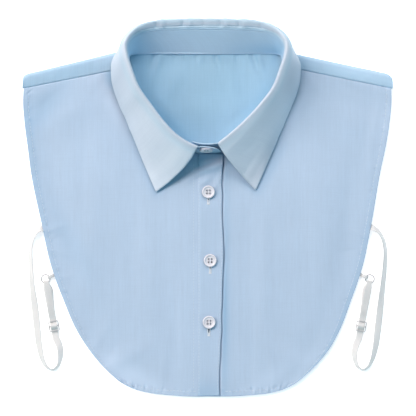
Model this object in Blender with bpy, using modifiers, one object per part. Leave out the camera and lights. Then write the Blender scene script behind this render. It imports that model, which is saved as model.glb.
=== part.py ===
"""Detachable shirt collar laid flat: two fronts, a back, a collar on its stand and two elastic straps.

Lengths in the tables are millimetres; every mesh is built in metres.
The garment lies on its back: +Y points from the hem to the neck, +Z points up.
"""
import math

import bmesh
import bpy
import numpy as np

MM = 0.001
COLLECTION_NAME = "detachable_shirt_collar"

# Cloth and seams
CLOTH_THICKNESS = 1.0
COLLAR_THICKNESS = 1.4
SEAM_GAP = 0.4
LEAF_SEAM_GAP = 0.8
NECK_SEAM_SETBACK = 1.6
NECK_SEAM_TOP_MARGIN = 1.5
FLOOR_CLEARANCE = 0.1

# Roll of the collar leaf
ROLL_WIDTH = 2.7
ROLL_SHOULDER_DROP = 1.0
UPRIGHT_RISE = 1.4
CREST_RISE = 0.5
CREST_SHARE = 0.42
LEAF_MIDDLE_SHARE = 0.45

# Heights of the middle of each cloth layer above the table
BACK_LEVEL = 0.5
LOWER_FRONT_LEVEL = 1.8
UPPER_FRONT_LEVEL = 3.1
PLACKET_RISE = 1.45

# Shoulder fold
FOLD_RADIUS = 3.0
SHOULDER_SEAM_LEVEL = 4.7
SHOULDER_SLOPE_LENGTH = 24.0
FOLD_STEP_DEGREES = 30
SHOULDER_SHARES = (0.33, 0.66, 1.0)

# Front opening
PLACKET_MIDDLE_X = 2.0
FOLD_FREE_HALF_WIDTH = 18.0
FOLD_EASE_WIDTH = 22.0
LOWER_FRONT_RISE_X = 14.0
LOWER_FRONT_RISE_WIDTH = 26.0
NECK_CORNER = {"left": (12.0, 46.6), "right": (-8.0, 49.4)}
HEM_CORNER = {"left": (10.0, -169.7), "right": (-8.0, -169.3)}

# Back piece: how far it stays inside the fronts, and the height of its neck edge
BACK_INSET = 2.2
BACK_HEM_RISE = 5.0
BACK_NECK_POINT = (-2.0, 139.7)

# Grid sizes
PANEL_ROWS_AT_NECK = 11
PANEL_ROWS_AT_PLACKET = 16
PANEL_COLUMNS = 15
BACK_NECK_COLUMNS = 9
BACK_ROWS = 10
PLACKET_ROWS = 24
PLACKET_COLUMNS = 4
COLLAR_STATIONS = 53
STAND_END_STATIONS = 6
STAND_ROWS = 5
LEAF_ROWS = 12
STRAP_ROWS = 36
RING_TAB_ROWS = 26
RING_SEGMENTS = 20
RING_WIRE_SEGMENTS = 6

# Buttons
BUTTON_HEIGHT = 2.4
BUTTON_SIDES = 24
BUTTON_HOLE_RADIUS = 0.6
BUTTON_HOLE_SIDES = 8
BUTTON_HOLE_SPACING = 2.6
BUTTON_PROFILE = [
    # radius, height above the button's middle
    (0.0, -1.2),
    (5.1, -1.2),
    (6.0, -0.3),
    (6.0, 0.5),
    (5.3, 1.2),
    (4.4, 1.1),
    (3.7, 0.5),
    (0.0, 0.4),
]

# Straps, rings and sliders
STRAP_THICKNESS = 1.0
STRAP_CLEARANCE = 0.15
RING_RADIUS = 3.9
RING_WIRE_RADIUS = 0.6
RING_LEVEL = 2.2
RING_TAB_DEGREES = 25.0
RING_TAB_WIDTH = 3.2
SLIDER_LENGTH = 9.6
SLIDER_WIDTH = 9.4
SLIDER_BAR = 0.9
SLIDER_THICKNESS = 0.8
SLIDER_LEVEL = 2.5
CUTTER_DEPTH = 8.0

# Outer edge of the fronts from the shoulder corner to the hem corner
SIDE_EDGE = [
    # height_y, left_x, right_x
    (107.8, -165.6, 164.7),
    (97.0, -166.3, 165.1),
    (75.4, -164.8, 163.2),
    (53.8, -162.0, 159.6),
    (32.2, -159.2, 155.0),
    (-11.0, -150.3, 147.6),
    (-54.2, -140.4, 138.6),
    (-83.0, -129.8, 128.8),
    (-111.8, -117.0, 117.6),
    (-126.2, -107.8, 109.6),
    (-140.6, -96.3, 98.0),
    (-155.0, -80.6, 82.0),
]

# Bottom hem from the hem corner to the middle
HEM_EDGE = [
    # height_y, left_x, right_x
    (-155.0, -80.6, 82.0),
    (-162.2, -68.4, 70.6),
    (-166.0, -54.0, 58.0),
    (-168.4, -34.0, 38.0),
    (-169.6, -8.0, 10.6),
]

# Edges of the placket from the neck to the hem
PLACKET_EDGE = [
    # height_y, left_x, right_x
    (46.6, -9.0, 13.3),
    (-40.0, -9.0, 12.9),
    (-110.0, -9.0, 12.2),
    (-169.9, -9.0, 10.6),
]

# Fold over the shoulder, from the corner to the neck
FOLD_LINE = {
    # corner, two points round it, two points on the straight fold, neck end
    "left": (
        (-166.4, 113.6), (-165.4, 118.4), (-162.0, 120.4), (-156.0, 121.9), (-130.0, 128.2), (-74.6, 141.8)),
    "right": (
        (165.9, 112.6), (164.7, 117.4), (161.4, 120.2), (156.0, 121.6), (130.0, 127.2), (70.6, 139.9)),
}

# Seam where the back piece meets the fronts
SHOULDER_SEAM = {
    # outer end, neck end
    "left": ((-165.6, 107.8), (-74.6, 125.9)),
    "right": ((164.7, 107.8), (70.6, 127.0)),
}

# Collar sections from each front end towards the middle of the back
LEFT_FRONT_SECTIONS = [
    # roll_x, roll_y, roll_z, edge_x, edge_y, edge_z, foot_x, foot_y, foot_z, turn, bulge
    (-9.0, 55.8, 28.0, -46.6, 14.5, 5.6, -7.7, 49.6, 3.7, 3.8, 1.0),
    (-27.7, 66.4, 30.0, -55.4, 34.9, 5.2, -32.4, 59.7, 3.8, 4.0, 1.4),
    (-39.4, 78.5, 32.0, -63.9, 55.6, 5.0, -44.6, 72.3, 4.0, 4.0, 1.8),
    (-50.6, 93.2, 34.0, -72.5, 76.8, 5.2, -55.4, 88.5, 4.2, 4.0, 1.8),
]
RIGHT_FRONT_SECTIONS = [
    # roll_x, roll_y, roll_z, edge_x, edge_y, edge_z, foot_x, foot_y, foot_z, turn, bulge
    (9.6, 59.6, 27.5, 43.2, 15.9, 5.2, 12.6, 51.6, 3.1, 3.8, 1.0),
    (22.1, 69.6, 30.0, 52.2, 37.6, 5.0, 27.0, 61.9, 3.6, 4.0, 1.4),
    (34.7, 81.3, 32.0, 59.9, 55.6, 5.0, 40.1, 72.7, 4.0, 4.0, 1.8),
    (46.4, 93.9, 34.0, 68.2, 75.4, 5.2, 50.9, 88.5, 4.2, 4.0, 1.8),
]
SHARED_SECTIONS = [
    # roll_x, roll_y, roll_z, edge_x, edge_y, edge_z, foot_x, foot_y, foot_z, turn, bulge
    (-61.4, 108.5, 36.0, -81.0, 96.1, 5.8, -64.8, 105.1, 4.6, 4.0, 1.6),
    (-68.2, 125.5, 37.0, -86.6, 115.9, 8.4, -69.8, 121.3, 5.2, 4.0, 1.2),
    (-72.2, 138.0, 36.6, -85.9, 133.0, 8.6, -71.2, 132.1, 5.2, 4.0, 1.0),
    (-73.0, 147.0, 34.6, -79.2, 142.8, 7.4, -70.2, 136.9, 3.6, 4.4, 1.0),
    (-69.2, 154.6, 31.0, -72.8, 149.0, 3.4, -66.6, 138.4, 2.6, 5.8, 1.6),
    (-61.0, 162.0, 26.5, -60.6, 151.6, 1.2, -59.4, 138.5, 2.3, 7.4, 3.2),
    (-49.0, 166.2, 23.0, -47.4, 148.2, 0.9, -47.7, 138.7, 2.3, 8.6, 5.2),
    (-27.0, 168.0, 20.4, -26.1, 147.4, 0.9, -25.2, 138.5, 2.3, 9.0, 6.2),
]
CENTRE_SECTION = (-2.0, 168.6, 19.6, -2.0, 147.2, 0.9, -2.0, 138.4, 2.3, 9.0, 6.4)
COLLAR_AXIS_X = -2.0

# Ends of the stand past the collar, where the two ends lap over each other
LEFT_STAND_END = [
    # top_x, top_y, top_z, foot_x, foot_y, foot_z
    (8.4, 55.3, 23.6, 8.8, 49.3, 3.8),
    (0.0, 55.2, 23.9, 0.4, 49.2, 3.8),
]
RIGHT_STAND_END = [
    # top_x, top_y, top_z, foot_x, foot_y, foot_z
    (-7.4, 58.2, 22.8, -7.4, 52.2, 2.6),
    (1.0, 58.1, 23.1, 1.4, 51.9, 2.6),
]

# Largest soft folds of the fronts
PANEL_FOLDS = [
    # centre_x, centre_y, degrees_from_x, half_length, half_width, height
    (-118.0, 92.0, 38.0, 42.0, 13.0, 1.3),
    (-104.0, -20.0, 84.0, 66.0, 14.0, 1.2),
    (-52.0, -74.0, 96.0, 58.0, 11.0, 0.9),
    (-76.0, -136.0, 30.0, 26.0, 8.0, 1.0),
    (116.0, 86.0, -36.0, 44.0, 14.0, 1.3),
    (100.0, -10.0, 95.0, 70.0, 15.0, 1.3),
    (52.0, -60.0, 86.0, 62.0, 12.0, 1.0),
    (72.0, -134.0, -32.0, 28.0, 9.0, 1.0),
]

BUTTONS = [
    # centre_x, centre_y
    (0.4, 14.4),
    (2.0, -47.3),
    (1.0, -102.8),
]
STAND_BUTTON_X = -1.6
STAND_BUTTON_SHARE = 0.6

LEFT_STRAP = [
    # x, y, twist_degrees, lift, width
    (-143.4, -17.6, 0.0, 1.15, 6.4),
    (-148.6, -19.1, 0.0, 1.15, 6.4),
    (-154.3, -21.8, 20.0, 0.7, 6.4),
    (-158.6, -29.0, 48.0, 0.3, 6.4),
    (-159.6, -39.8, 58.0, 0.2, 6.4),
    (-159.2, -49.7, 57.0, 0.2, 6.4),
    (-158.1, -69.5, 48.0, 0.2, 6.4),
    (-155.7, -89.3, 20.0, 0.2, 6.4),
    (-153.6, -108.2, 24.0, 0.2, 6.4),
    (-151.0, -128.0, 40.0, 0.2, 6.4),
    (-147.0, -140.2, 66.0, 0.2, 6.4),
    (-140.2, -145.6, 84.0, 0.2, 6.4),
    (-134.4, -139.8, 64.0, 0.2, 6.4),
    (-133.4, -128.0, 32.0, 0.2, 6.4),
    (-136.6, -117.6, 3.0, 0.3, 6.4),
]
RIGHT_STRAP = [
    # x, y, twist_degrees, lift, width
    (141.4, -16.8, 0.0, 1.15, 6.4),
    (147.2, -18.6, 0.0, 1.15, 6.4),
    (154.8, -24.0, -20.0, 0.7, 6.4),
    (158.9, -32.6, -48.0, 0.3, 6.4),
    (159.5, -40.2, -60.0, 0.2, 6.4),
    (158.6, -55.1, -50.0, 0.2, 6.4),
    (157.2, -69.5, -44.0, 0.2, 6.4),
    (155.0, -89.3, -22.0, 0.2, 6.4),
    (152.8, -108.2, -16.0, 0.2, 6.4),
    (150.0, -128.0, -38.0, 0.2, 6.4),
    (145.8, -140.2, -66.0, 0.2, 6.4),
    (139.4, -145.6, -84.0, 0.2, 6.4),
    (133.9, -139.8, -64.0, 0.2, 6.4),
    (132.6, -128.0, -34.0, 0.2, 6.4),
    (135.6, -117.8, -3.0, 0.3, 6.4),
]
# The strap past its slider: a run is gap_share of the way to the ring's wire, plus an offset
STRAP_RUNS = [
    # gap_share, offset, height, width
    (0.0, -6.4, 0.80, 6.4),
    (0.0, -4.3, 1.02, 6.4),
    (0.0, -3.6, 1.15, 6.4),
    (0.0, -1.0, 3.60, 6.4),
    (0.0, 0.0, 3.90, 6.4),
    (0.0, 1.0, 3.60, 6.4),
    (0.0, 3.5, 1.30, 6.4),
    (0.0, 4.6, 1.15, 6.4),
    (0.0, 7.0, 1.60, 6.4),
    (0.0, 11.0, 2.60, 6.4),
    (0.6, 0.0, 3.40, 6.4),
    (1.0, -5.0, 3.90, 5.2),
]
STRAP_RETURN_RUNS = [
    # gap_share, offset, height, width
    (1.0, -5.0, 0.72, 5.0),
    (0.6, 0.0, 0.78, 6.4),
    (0.0, 13.0, 0.70, 6.4),
    (0.0, 9.5, 0.70, 6.4),
]
STRAP_LOOP_HALF_HEIGHT = 1.6
STRAP_LOOP_REACH = 2.1
STRAP_LOOP_WIDTH = 3.8

# The ring's tab before and after its loop round the wire
RING_TAB_RUNS = [
    # run from the wire, height
    (7.5, 1.8),
    (4.5, 1.9),
    (2.2, 3.2),
]
RING_TAB_RETURN_RUN = (2.0, 0.6)
RING_TAB_LOOP_HALF_HEIGHT = 1.6
RING_TAB_LOOP_REACH = 1.7

SLIDERS = {
    # centre_x, centre_y
    "left": (-138.6, -106.2),
    "right": (137.8, -106.4),
}
RINGS = {
    # centre_x, centre_y
    "left": (-146.0, -63.8),
    "right": (145.6, -63.8),
}

MATERIALS = {
    # red, green, blue, roughness
    "blue_cotton": (0.47, 0.60, 0.78, 0.85),
    "white_elastic": (0.86, 0.86, 0.86, 0.70),
    "white_button": (0.84, 0.85, 0.88, 0.30),
    "clear_plastic": (0.82, 0.83, 0.85, 0.20),
}


def material(piece, kind):
    """Make the plain material of one piece."""
    red, green, blue, roughness = MATERIALS[kind]
    made = bpy.data.materials.new(piece + "_" + kind)
    made.use_nodes = True
    shader = made.node_tree.nodes["Principled BSDF"]
    shader.inputs["Base Color"].default_value = (red, green, blue, 1.0)
    shader.inputs["Roughness"].default_value = roughness
    made.diffuse_color = (red, green, blue, 1.0)
    return made


def through(points, count=None, steps=None):
    """Return rows along a smooth curve through the points: count even ones, or steps for each span."""
    points = np.asarray(points, dtype=float)
    chords = np.linalg.norm(np.diff(points[:, :3], axis=0), axis=1)
    marks = np.concatenate([[0.0], np.cumsum(chords)])
    order = 2 if len(points) > 2 else 1
    slopes = np.gradient(points, marks, axis=0, edge_order=order)
    if steps is None:
        at = np.linspace(0.0, marks[-1], count)
    else:
        keys = np.arange((len(points) - 1) * steps + 1) / steps
        at = np.interp(keys, np.arange(len(points)), marks)
    span = np.clip(np.searchsorted(marks, at, side="right") - 1, 0, len(chords) - 1)
    length = chords[span][:, None]
    t = ((at - marks[span]) / chords[span])[:, None]
    start = points[span]
    end = points[span + 1]
    return (
        (2 * t ** 3 - 3 * t ** 2 + 1) * start
        + (t ** 3 - 2 * t ** 2 + t) * length * slopes[span]
        + (-2 * t ** 3 + 3 * t ** 2) * end
        + (t ** 3 - t ** 2) * length * slopes[span + 1]
    )


def unit(vectors):
    """Scale rows to length one."""
    return vectors / np.linalg.norm(vectors, axis=-1, keepdims=True)


def patch(inner, outer, top, bottom):
    """Fill a four-sided outline with a grid: rows run from top to bottom, columns from inner to outer."""
    down = np.linspace(0.0, 1.0, len(inner))[:, None, None]
    across = np.linspace(0.0, 1.0, len(top))[None, :, None]
    between_sides = (1 - across) * inner[:, None] + across * outer[:, None]
    between_ends = (1 - down) * top[None] + down * bottom[None]
    corners = (1 - down) * ((1 - across) * inner[0] + across * outer[0])
    corners = corners + down * ((1 - across) * inner[-1] + across * outer[-1])
    return between_sides + between_ends - corners


def mirrored(row):
    """Swap a collar section to the other side of the collar's axis."""
    swapped = list(row)
    for index in (0, 3, 6):
        swapped[index] = 2 * COLLAR_AXIS_X - swapped[index]
    return tuple(swapped)


def collar_sections(count):
    """Return collar section rows from the left front end round the back to the right front end."""
    back_left = SHARED_SECTIONS
    back_right = [mirrored(row) for row in reversed(SHARED_SECTIONS)]
    rows = LEFT_FRONT_SECTIONS + back_left + [CENTRE_SECTION]
    rows = rows + back_right + list(reversed(RIGHT_FRONT_SECTIONS))
    return through(rows, count)


def stand_top(sections):
    """Return where the stand's top edge lies below the roll."""
    roll = sections[:, 0:3]
    foot = sections[:, 6:9]
    return roll - unit(roll - foot) * sections[:, 9:10]


def leaf_curves(sections, count):
    """Return a grid over the collar: each row runs from the stand's top over the roll to the edge."""
    roll = sections[:, 0:3]
    edge = sections[:, 3:6]
    foot = sections[:, 6:9]
    rise = unit(roll - foot)
    start = stand_top(sections) + rise * LEAF_SEAM_GAP
    fall = edge - roll
    away = unit(fall - np.sum(fall * rise, axis=1, keepdims=True) * rise)
    shoulder = roll + away * ROLL_WIDTH - rise * ROLL_SHOULDER_DROP
    drop = unit(edge - shoulder)
    side = unit(away - np.sum(away * drop, axis=1, keepdims=True) * drop)
    middle = shoulder + (edge - shoulder) * LEAF_MIDDLE_SHARE + side * sections[:, 10:11]
    upright = start + rise * UPRIGHT_RISE
    crest = roll + rise * CREST_RISE + away * ROLL_WIDTH * CREST_SHARE
    grid = []
    for keys in zip(start, upright, crest, shoulder, middle, edge):
        grid.append(through(keys, count))
    grid = np.array(grid)
    grid[..., 2] = np.maximum(grid[..., 2], COLLAR_THICKNESS / 2 + FLOOR_CLEARANCE)
    return grid


def stand_grid(count_across):
    """Return the stand's grid: stations along the neck, rows from foot to top."""
    sections = collar_sections(COLLAR_STATIONS)
    top = stand_top(sections)
    foot = sections[:, 6:9]
    ring = np.hstack([top, foot])
    left_end = through(LEFT_STAND_END + [tuple(ring[0])], STAND_END_STATIONS)[:-1]
    right_end = through([tuple(ring[-1])] + RIGHT_STAND_END[::-1], STAND_END_STATIONS)[1:]
    ring = np.vstack([left_end, ring, right_end])
    across = np.linspace(0.0, 1.0, count_across)[None, :, None]
    return ring[:, None, 3:6] * (1 - across) + ring[:, None, 0:3] * across


def fold_height(x, y):
    """Return the height that the soft folds add to the fronts."""
    total = np.zeros_like(x)
    for centre_x, centre_y, degrees, half_length, half_width, height in PANEL_FOLDS:
        angle = math.radians(degrees)
        along = (x - centre_x) * math.cos(angle) + (y - centre_y) * math.sin(angle)
        across = -(x - centre_x) * math.sin(angle) + (y - centre_y) * math.cos(angle)
        total += height * np.exp(-(along / half_length) ** 2 - (across / half_width) ** 2)
    return total


def shoulder_seam_y(x, side):
    """Return how high up the shoulder seam lies at x."""
    (outer_x, outer_y), (neck_x, neck_y) = SHOULDER_SEAM[side]
    return outer_y + (neck_y - outer_y) * (x - outer_x) / (neck_x - outer_x)


def smooth_step(value):
    """Ease from 0 to 1."""
    value = np.clip(value, 0.0, 1.0)
    return value * value * (3.0 - 2.0 * value)


def front_level(x, y, side):
    """Return the height of the middle of a front."""
    below_seam = shoulder_seam_y(x, side) - y
    shoulder = 1.0 - smooth_step(below_seam / SHOULDER_SLOPE_LENGTH)
    level = UPPER_FRONT_LEVEL + (SHOULDER_SEAM_LEVEL - UPPER_FRONT_LEVEL) * shoulder
    from_placket = np.abs(x - PLACKET_MIDDLE_X) - FOLD_FREE_HALF_WIDTH
    clear_of_placket = smooth_step(from_placket / FOLD_EASE_WIDTH)
    if side == "right":
        sink = UPPER_FRONT_LEVEL - LOWER_FRONT_LEVEL
        rise = smooth_step((x - LOWER_FRONT_RISE_X) / LOWER_FRONT_RISE_WIDTH)
        level = level - sink * (1.0 - rise)
    return level + fold_height(x, y) * clear_of_placket


def neck_edge(side, count):
    """Return the neck edge of a front, set back from the foot of the stand."""
    foot = collar_sections(COLLAR_STATIONS)[:, 6:8]
    if side == "right":
        foot = foot[::-1]
    below = foot[:, 1] < SHOULDER_SEAM[side][1][1] - NECK_SEAM_TOP_MARGIN
    first_above = int(np.argmin(below))
    foot = foot[:first_above]
    along = unit(np.gradient(foot, axis=0))
    turn = 1.0 if side == "left" else -1.0
    outward = np.stack([-along[:, 1], along[:, 0]], axis=1) * turn
    edge = (foot + outward * NECK_SEAM_SETBACK)[::-1]
    neck_point = (SHOULDER_SEAM[side][1][0], SHOULDER_SEAM[side][1][1] - SEAM_GAP)
    return through([neck_point] + [tuple(row) for row in edge[1:-1:3]] + [NECK_CORNER[side]], count)


def side_points(side, rows):
    """Pick the outline points of one side from a table of both."""
    column = 1 if side == "left" else 2
    return [(row[column], row[0]) for row in rows]


def front_grid(side):
    """Return the middle surface of one front."""
    neck = neck_edge(side, PANEL_ROWS_AT_NECK)
    opening = through([tuple(neck[-1]), HEM_CORNER[side]], PANEL_ROWS_AT_PLACKET)
    inner = np.vstack([neck, opening[1:]])
    outer = through(side_points(side, SIDE_EDGE), len(inner))
    outer[0, 1] -= SEAM_GAP
    top = through([tuple(inner[0]), tuple(outer[0])], PANEL_COLUMNS)
    hem = [HEM_CORNER[side]] + side_points(side, HEM_EDGE)[::-1]
    bottom = through(hem, PANEL_COLUMNS)
    plan = patch(inner, outer, top, bottom)
    level = front_level(plan[..., 0], plan[..., 1], side)
    return np.dstack([plan, level])


def grid_mesh(bm, grid):
    """Add a grid of points and its faces to a mesh, and return its vertices."""
    verts = [[bm.verts.new(tuple(point * MM)) for point in row] for row in grid]
    for upper, lower in zip(verts, verts[1:]):
        for index in range(len(upper) - 1):
            bm.faces.new((upper[index], lower[index], lower[index + 1], upper[index + 1]))
    return verts


def finish_mesh(bm, name, material_name, collection):
    """Turn a mesh into a named object with its material."""
    bmesh.ops.remove_doubles(bm, verts=bm.verts, dist=0.00001)
    bmesh.ops.recalc_face_normals(bm, faces=bm.faces)
    mesh = bpy.data.meshes.new(name)
    bm.to_mesh(mesh)
    bm.free()
    made = bpy.data.objects.new(name, mesh)
    made.data.materials.append(material(name, material_name))
    collection.objects.link(made)
    return made


def cloth(name, grids, thickness, collection):
    """Build a cloth wall of even thickness on one or more joined grids."""
    bm = bmesh.new()
    for grid in grids:
        grid_mesh(bm, grid)
    made = finish_mesh(bm, name, "blue_cotton", collection)
    wall = made.modifiers.new("cloth_wall", "SOLIDIFY")
    wall.thickness = thickness * MM
    wall.offset = 0.0
    wall.use_rim = True
    wall.use_quality_normals = True
    return made


def back_grids():
    """Return the grids of the back: the flat part and the two parts folded over the shoulders."""
    fold = {}
    for side in ("left", "right"):
        fold[side] = through(FOLD_LINE[side], steps=2)
    start = {side: fold[side] - np.array([0.0, FOLD_RADIUS]) for side in fold}
    neck_ends = [tuple(start["left"][-1]), BACK_NECK_POINT, tuple(start["right"][-1])]
    neck_line = through(neck_ends, BACK_NECK_COLUMNS)
    top = np.vstack([start["left"], neck_line[1:-1], start["right"][::-1]])
    left = [tuple(top[0])] + [(x + BACK_INSET, y) for x, y in side_points("left", SIDE_EDGE)[1:]]
    right = [tuple(top[-1])] + [(x - BACK_INSET, y) for x, y in side_points("right", SIDE_EDGE)[1:]]
    left_edge = through(left, BACK_ROWS)
    right_edge = through(right, BACK_ROWS)
    hem = side_points("left", HEM_EDGE)[1:] + side_points("right", HEM_EDGE)[1:][::-1]
    hem = [(x, y + BACK_HEM_RISE) for x, y in hem]
    bottom = through([tuple(left_edge[-1])] + hem + [tuple(right_edge[-1])], len(top))
    plan = patch(left_edge, right_edge, top, bottom)
    grids = [np.dstack([plan, np.full(plan.shape[:2], BACK_LEVEL)])]
    for side in ("left", "right"):
        wrapped = []
        for (x, y) in start[side]:
            seam_y = shoulder_seam_y(x, side)
            column = [(x, y, BACK_LEVEL)]
            for degrees in range(FOLD_STEP_DEGREES, 181, FOLD_STEP_DEGREES):
                angle = math.radians(degrees)
                reach = FOLD_RADIUS * math.sin(angle)
                column.append((x, y + reach, BACK_LEVEL + FOLD_RADIUS * (1.0 - math.cos(angle))))
            high = BACK_LEVEL + 2 * FOLD_RADIUS
            for share in SHOULDER_SHARES:
                ease = share * share
                column.append((x, y + (seam_y - y) * share, high + (SHOULDER_SEAM_LEVEL - high) * ease))
            wrapped.append(column)
        grids.append(np.array(wrapped))
    return grids


def placket_grid():
    """Return the middle surface of the placket."""
    left = through(side_points("left", PLACKET_EDGE), PLACKET_ROWS)
    right = through(side_points("right", PLACKET_EDGE), PLACKET_ROWS)
    across = np.linspace(0.0, 1.0, PLACKET_COLUMNS)[None, :, None]
    plan = left[:, None] * (1 - across) + right[:, None] * across
    level = np.full(plan.shape[:2], UPPER_FRONT_LEVEL + PLACKET_RISE)
    return np.dstack([plan, level])


def button(name, place, lean, collection):
    """Build a turned button with four holes, lying on its back, leaned about X."""
    bm = bmesh.new()
    verts = [bm.verts.new((radius * MM, 0.0, height * MM)) for radius, height in BUTTON_PROFILE]
    for pair in zip(verts, verts[1:]):
        bm.edges.new(pair)
    made = finish_mesh(bm, name, "white_button", collection)
    turning = made.modifiers.new("turning", "SCREW")
    turning.axis = "Z"
    turning.steps = BUTTON_SIDES
    turning.render_steps = BUTTON_SIDES
    turning.use_merge_vertices = True
    turning.merge_threshold = 0.00001
    turning.use_normal_calculate = True
    holes = bmesh.new()
    for step_x in (-0.5, 0.5):
        for step_y in (-0.5, 0.5):
            hole = bmesh.ops.create_cone(
                holes, cap_ends=True, segments=BUTTON_HOLE_SIDES, depth=CUTTER_DEPTH * MM,
                radius1=BUTTON_HOLE_RADIUS * MM, radius2=BUTTON_HOLE_RADIUS * MM)
            offset = (step_x * BUTTON_HOLE_SPACING * MM, step_y * BUTTON_HOLE_SPACING * MM, 0.0)
            bmesh.ops.translate(holes, verts=hole["verts"], vec=offset)
    cutter = finish_mesh(holes, name + "_cutter", "white_button", cutters())
    cut = made.modifiers.new("thread_holes", "BOOLEAN")
    cut.operation = "DIFFERENCE"
    cut.solver = "EXACT"
    cut.object = cutter
    cutter.parent = made
    cutter.hide_render = True
    cutter.display_type = "WIRE"
    made.location = [value * MM for value in place]
    made.rotation_euler = (math.radians(lean), 0.0, 0.0)
    return made


def stand_button_place():
    """Return where the neck button sits on the stand's front end, and its lean in degrees."""
    top_x, top_y, top_z, foot_x, foot_y, foot_z = LEFT_STAND_END[1]
    lean = math.atan2(top_z - foot_z, top_y - foot_y)
    reach = COLLAR_THICKNESS / 2 + SEAM_GAP + BUTTON_HEIGHT / 2
    y = foot_y + (top_y - foot_y) * STAND_BUTTON_SHARE - reach * math.sin(lean)
    z = foot_z + (top_z - foot_z) * STAND_BUTTON_SHARE + reach * math.cos(lean)
    return (STAND_BUTTON_X, y, z), math.degrees(lean)


def cutters():
    """Return the collection that holds the cutting tools."""
    made = bpy.data.collections.get("cutters")
    if made is None:
        made = bpy.data.collections.new("cutters")
        bpy.context.scene.collection.children.link(made)
    return made


def level_across(along):
    """Return the level direction at right angles to each run direction."""
    return unit(np.cross(np.array([0.0, 0.0, 1.0]), along))


def ribbon(name, centres, across, twists, widths, material_name, collection):
    """Loft a flat strap along its centre line; twist turns it about its own run."""
    along = unit(np.gradient(centres, axis=0))
    bm = bmesh.new()
    rings = []
    for centre, direction, wide, twist, width in zip(centres, along, across, twists, widths):
        thick = np.cross(direction, wide)
        angle = math.radians(twist)
        turned_wide = wide * math.cos(angle) + thick * math.sin(angle)
        turned_thick = thick * math.cos(angle) - wide * math.sin(angle)
        ring = []
        for share_wide, share_thick in ((-0.5, -0.5), (0.5, -0.5), (0.5, 0.5), (-0.5, 0.5)):
            corner = centre + turned_wide * width * share_wide
            corner = corner + turned_thick * STRAP_THICKNESS * share_thick
            ring.append(bm.verts.new(tuple(corner * MM)))
        rings.append(ring)
    for ring, following in zip(rings, rings[1:]):
        for index in range(4):
            after = (index + 1) % 4
            bm.faces.new((ring[index], ring[after], following[after], following[index]))
    bm.faces.new(rings[0][::-1])
    bm.faces.new(rings[-1])
    return finish_mesh(bm, name, material_name, collection)


def loop_round_wire(wire_y, direction, half_height, reach):
    """Return (run, height) steps of a strap bending back round a ring's wire."""
    steps = []
    for degrees in range(90, -91, -30):
        angle = math.radians(degrees)
        run = wire_y + direction * reach * math.cos(angle)
        steps.append((run, RING_LEVEL + half_height * math.sin(angle)))
    return steps


def strap(side, collection):
    """Build one elastic strap: tab, hanging loop, slider and the doubled run to its ring."""
    table = LEFT_STRAP if side == "left" else RIGHT_STRAP
    rows = through([(x, y, 0.0, twist, lift, width) for x, y, twist, lift, width in table], STRAP_ROWS)
    turn = np.radians(np.abs(rows[:, 3]))
    height = 0.5 * rows[:, 5] * np.sin(turn) + 0.5 * STRAP_THICKNESS * np.cos(turn)
    height = height + rows[:, 4] + STRAP_CLEARANCE
    hanging = np.column_stack([rows[:, 0], rows[:, 1], height])
    slider = np.array(SLIDERS[side])
    ring = np.array(RINGS[side])
    course = unit(ring - slider)
    gap_to_wire = np.linalg.norm(ring - slider) - RING_RADIUS
    doubled = []
    for share, offset, level, width in STRAP_RUNS:
        place = slider + course * (gap_to_wire * share + offset)
        doubled.append((place[0], place[1], level, width))
    for run, level in loop_round_wire(gap_to_wire, 1.0, STRAP_LOOP_HALF_HEIGHT, STRAP_LOOP_REACH):
        place = slider + course * run
        doubled.append((place[0], place[1], level, STRAP_LOOP_WIDTH))
    for share, offset, level, width in STRAP_RETURN_RUNS:
        place = slider + course * (gap_to_wire * share + offset)
        doubled.append((place[0], place[1], level, width))
    doubled = through(doubled, steps=2)
    centres = np.vstack([hanging, doubled[:, :3]])
    flat = level_across(np.append(course, 0.0))
    along = np.gradient(hanging, axis=0)
    across = np.vstack([level_across(along), np.tile(flat, (len(doubled), 1))])
    twists = np.concatenate([rows[:, 3], np.zeros(len(doubled))])
    widths = np.concatenate([rows[:, 5], doubled[:, 3]])
    return ribbon("strap_" + side, centres, across, twists, widths, "white_elastic", collection)


def ring_tab(side, collection):
    """Build the short tab that holds the ring to the side edge."""
    angle = math.radians(RING_TAB_DEGREES)
    toward_body = 1.0 if side == "left" else -1.0
    course = np.array([toward_body * math.cos(angle), math.sin(angle)])
    steps = [(RING_RADIUS + run, level) for run, level in RING_TAB_RUNS]
    steps = steps + loop_round_wire(
        RING_RADIUS, -1.0, RING_TAB_LOOP_HALF_HEIGHT, RING_TAB_LOOP_REACH)
    run, level = RING_TAB_RETURN_RUN
    steps = steps + [(RING_RADIUS + run, level)]
    places = [tuple(np.array(RINGS[side]) + course * run) + (level,) for run, level in steps]
    rows = through(places, RING_TAB_ROWS)
    across = np.tile(level_across(-np.append(course, 0.0)), (len(rows), 1))
    twists = np.zeros(len(rows))
    widths = np.full(len(rows), RING_TAB_WIDTH)
    return ribbon("ring_tab_" + side, rows, across, twists, widths, "white_elastic", collection)


def ring(side, collection):
    """Build the round ring."""
    x, y = RINGS[side]
    bpy.ops.mesh.primitive_torus_add(
        major_radius=RING_RADIUS * MM, minor_radius=RING_WIRE_RADIUS * MM,
        major_segments=RING_SEGMENTS, minor_segments=RING_WIRE_SEGMENTS,
        location=(x * MM, y * MM, RING_LEVEL * MM))
    return adopt("ring_" + side, "clear_plastic", collection)


def adopt(name, material_name, collection):
    """Name the active object, give it its material and move it to the collection."""
    made = bpy.context.active_object
    made.name = name
    made.data.name = name
    made.data.materials.append(material(name, material_name))
    for holder in list(made.users_collection):
        holder.objects.unlink(made)
    collection.objects.link(made)
    return made


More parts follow.
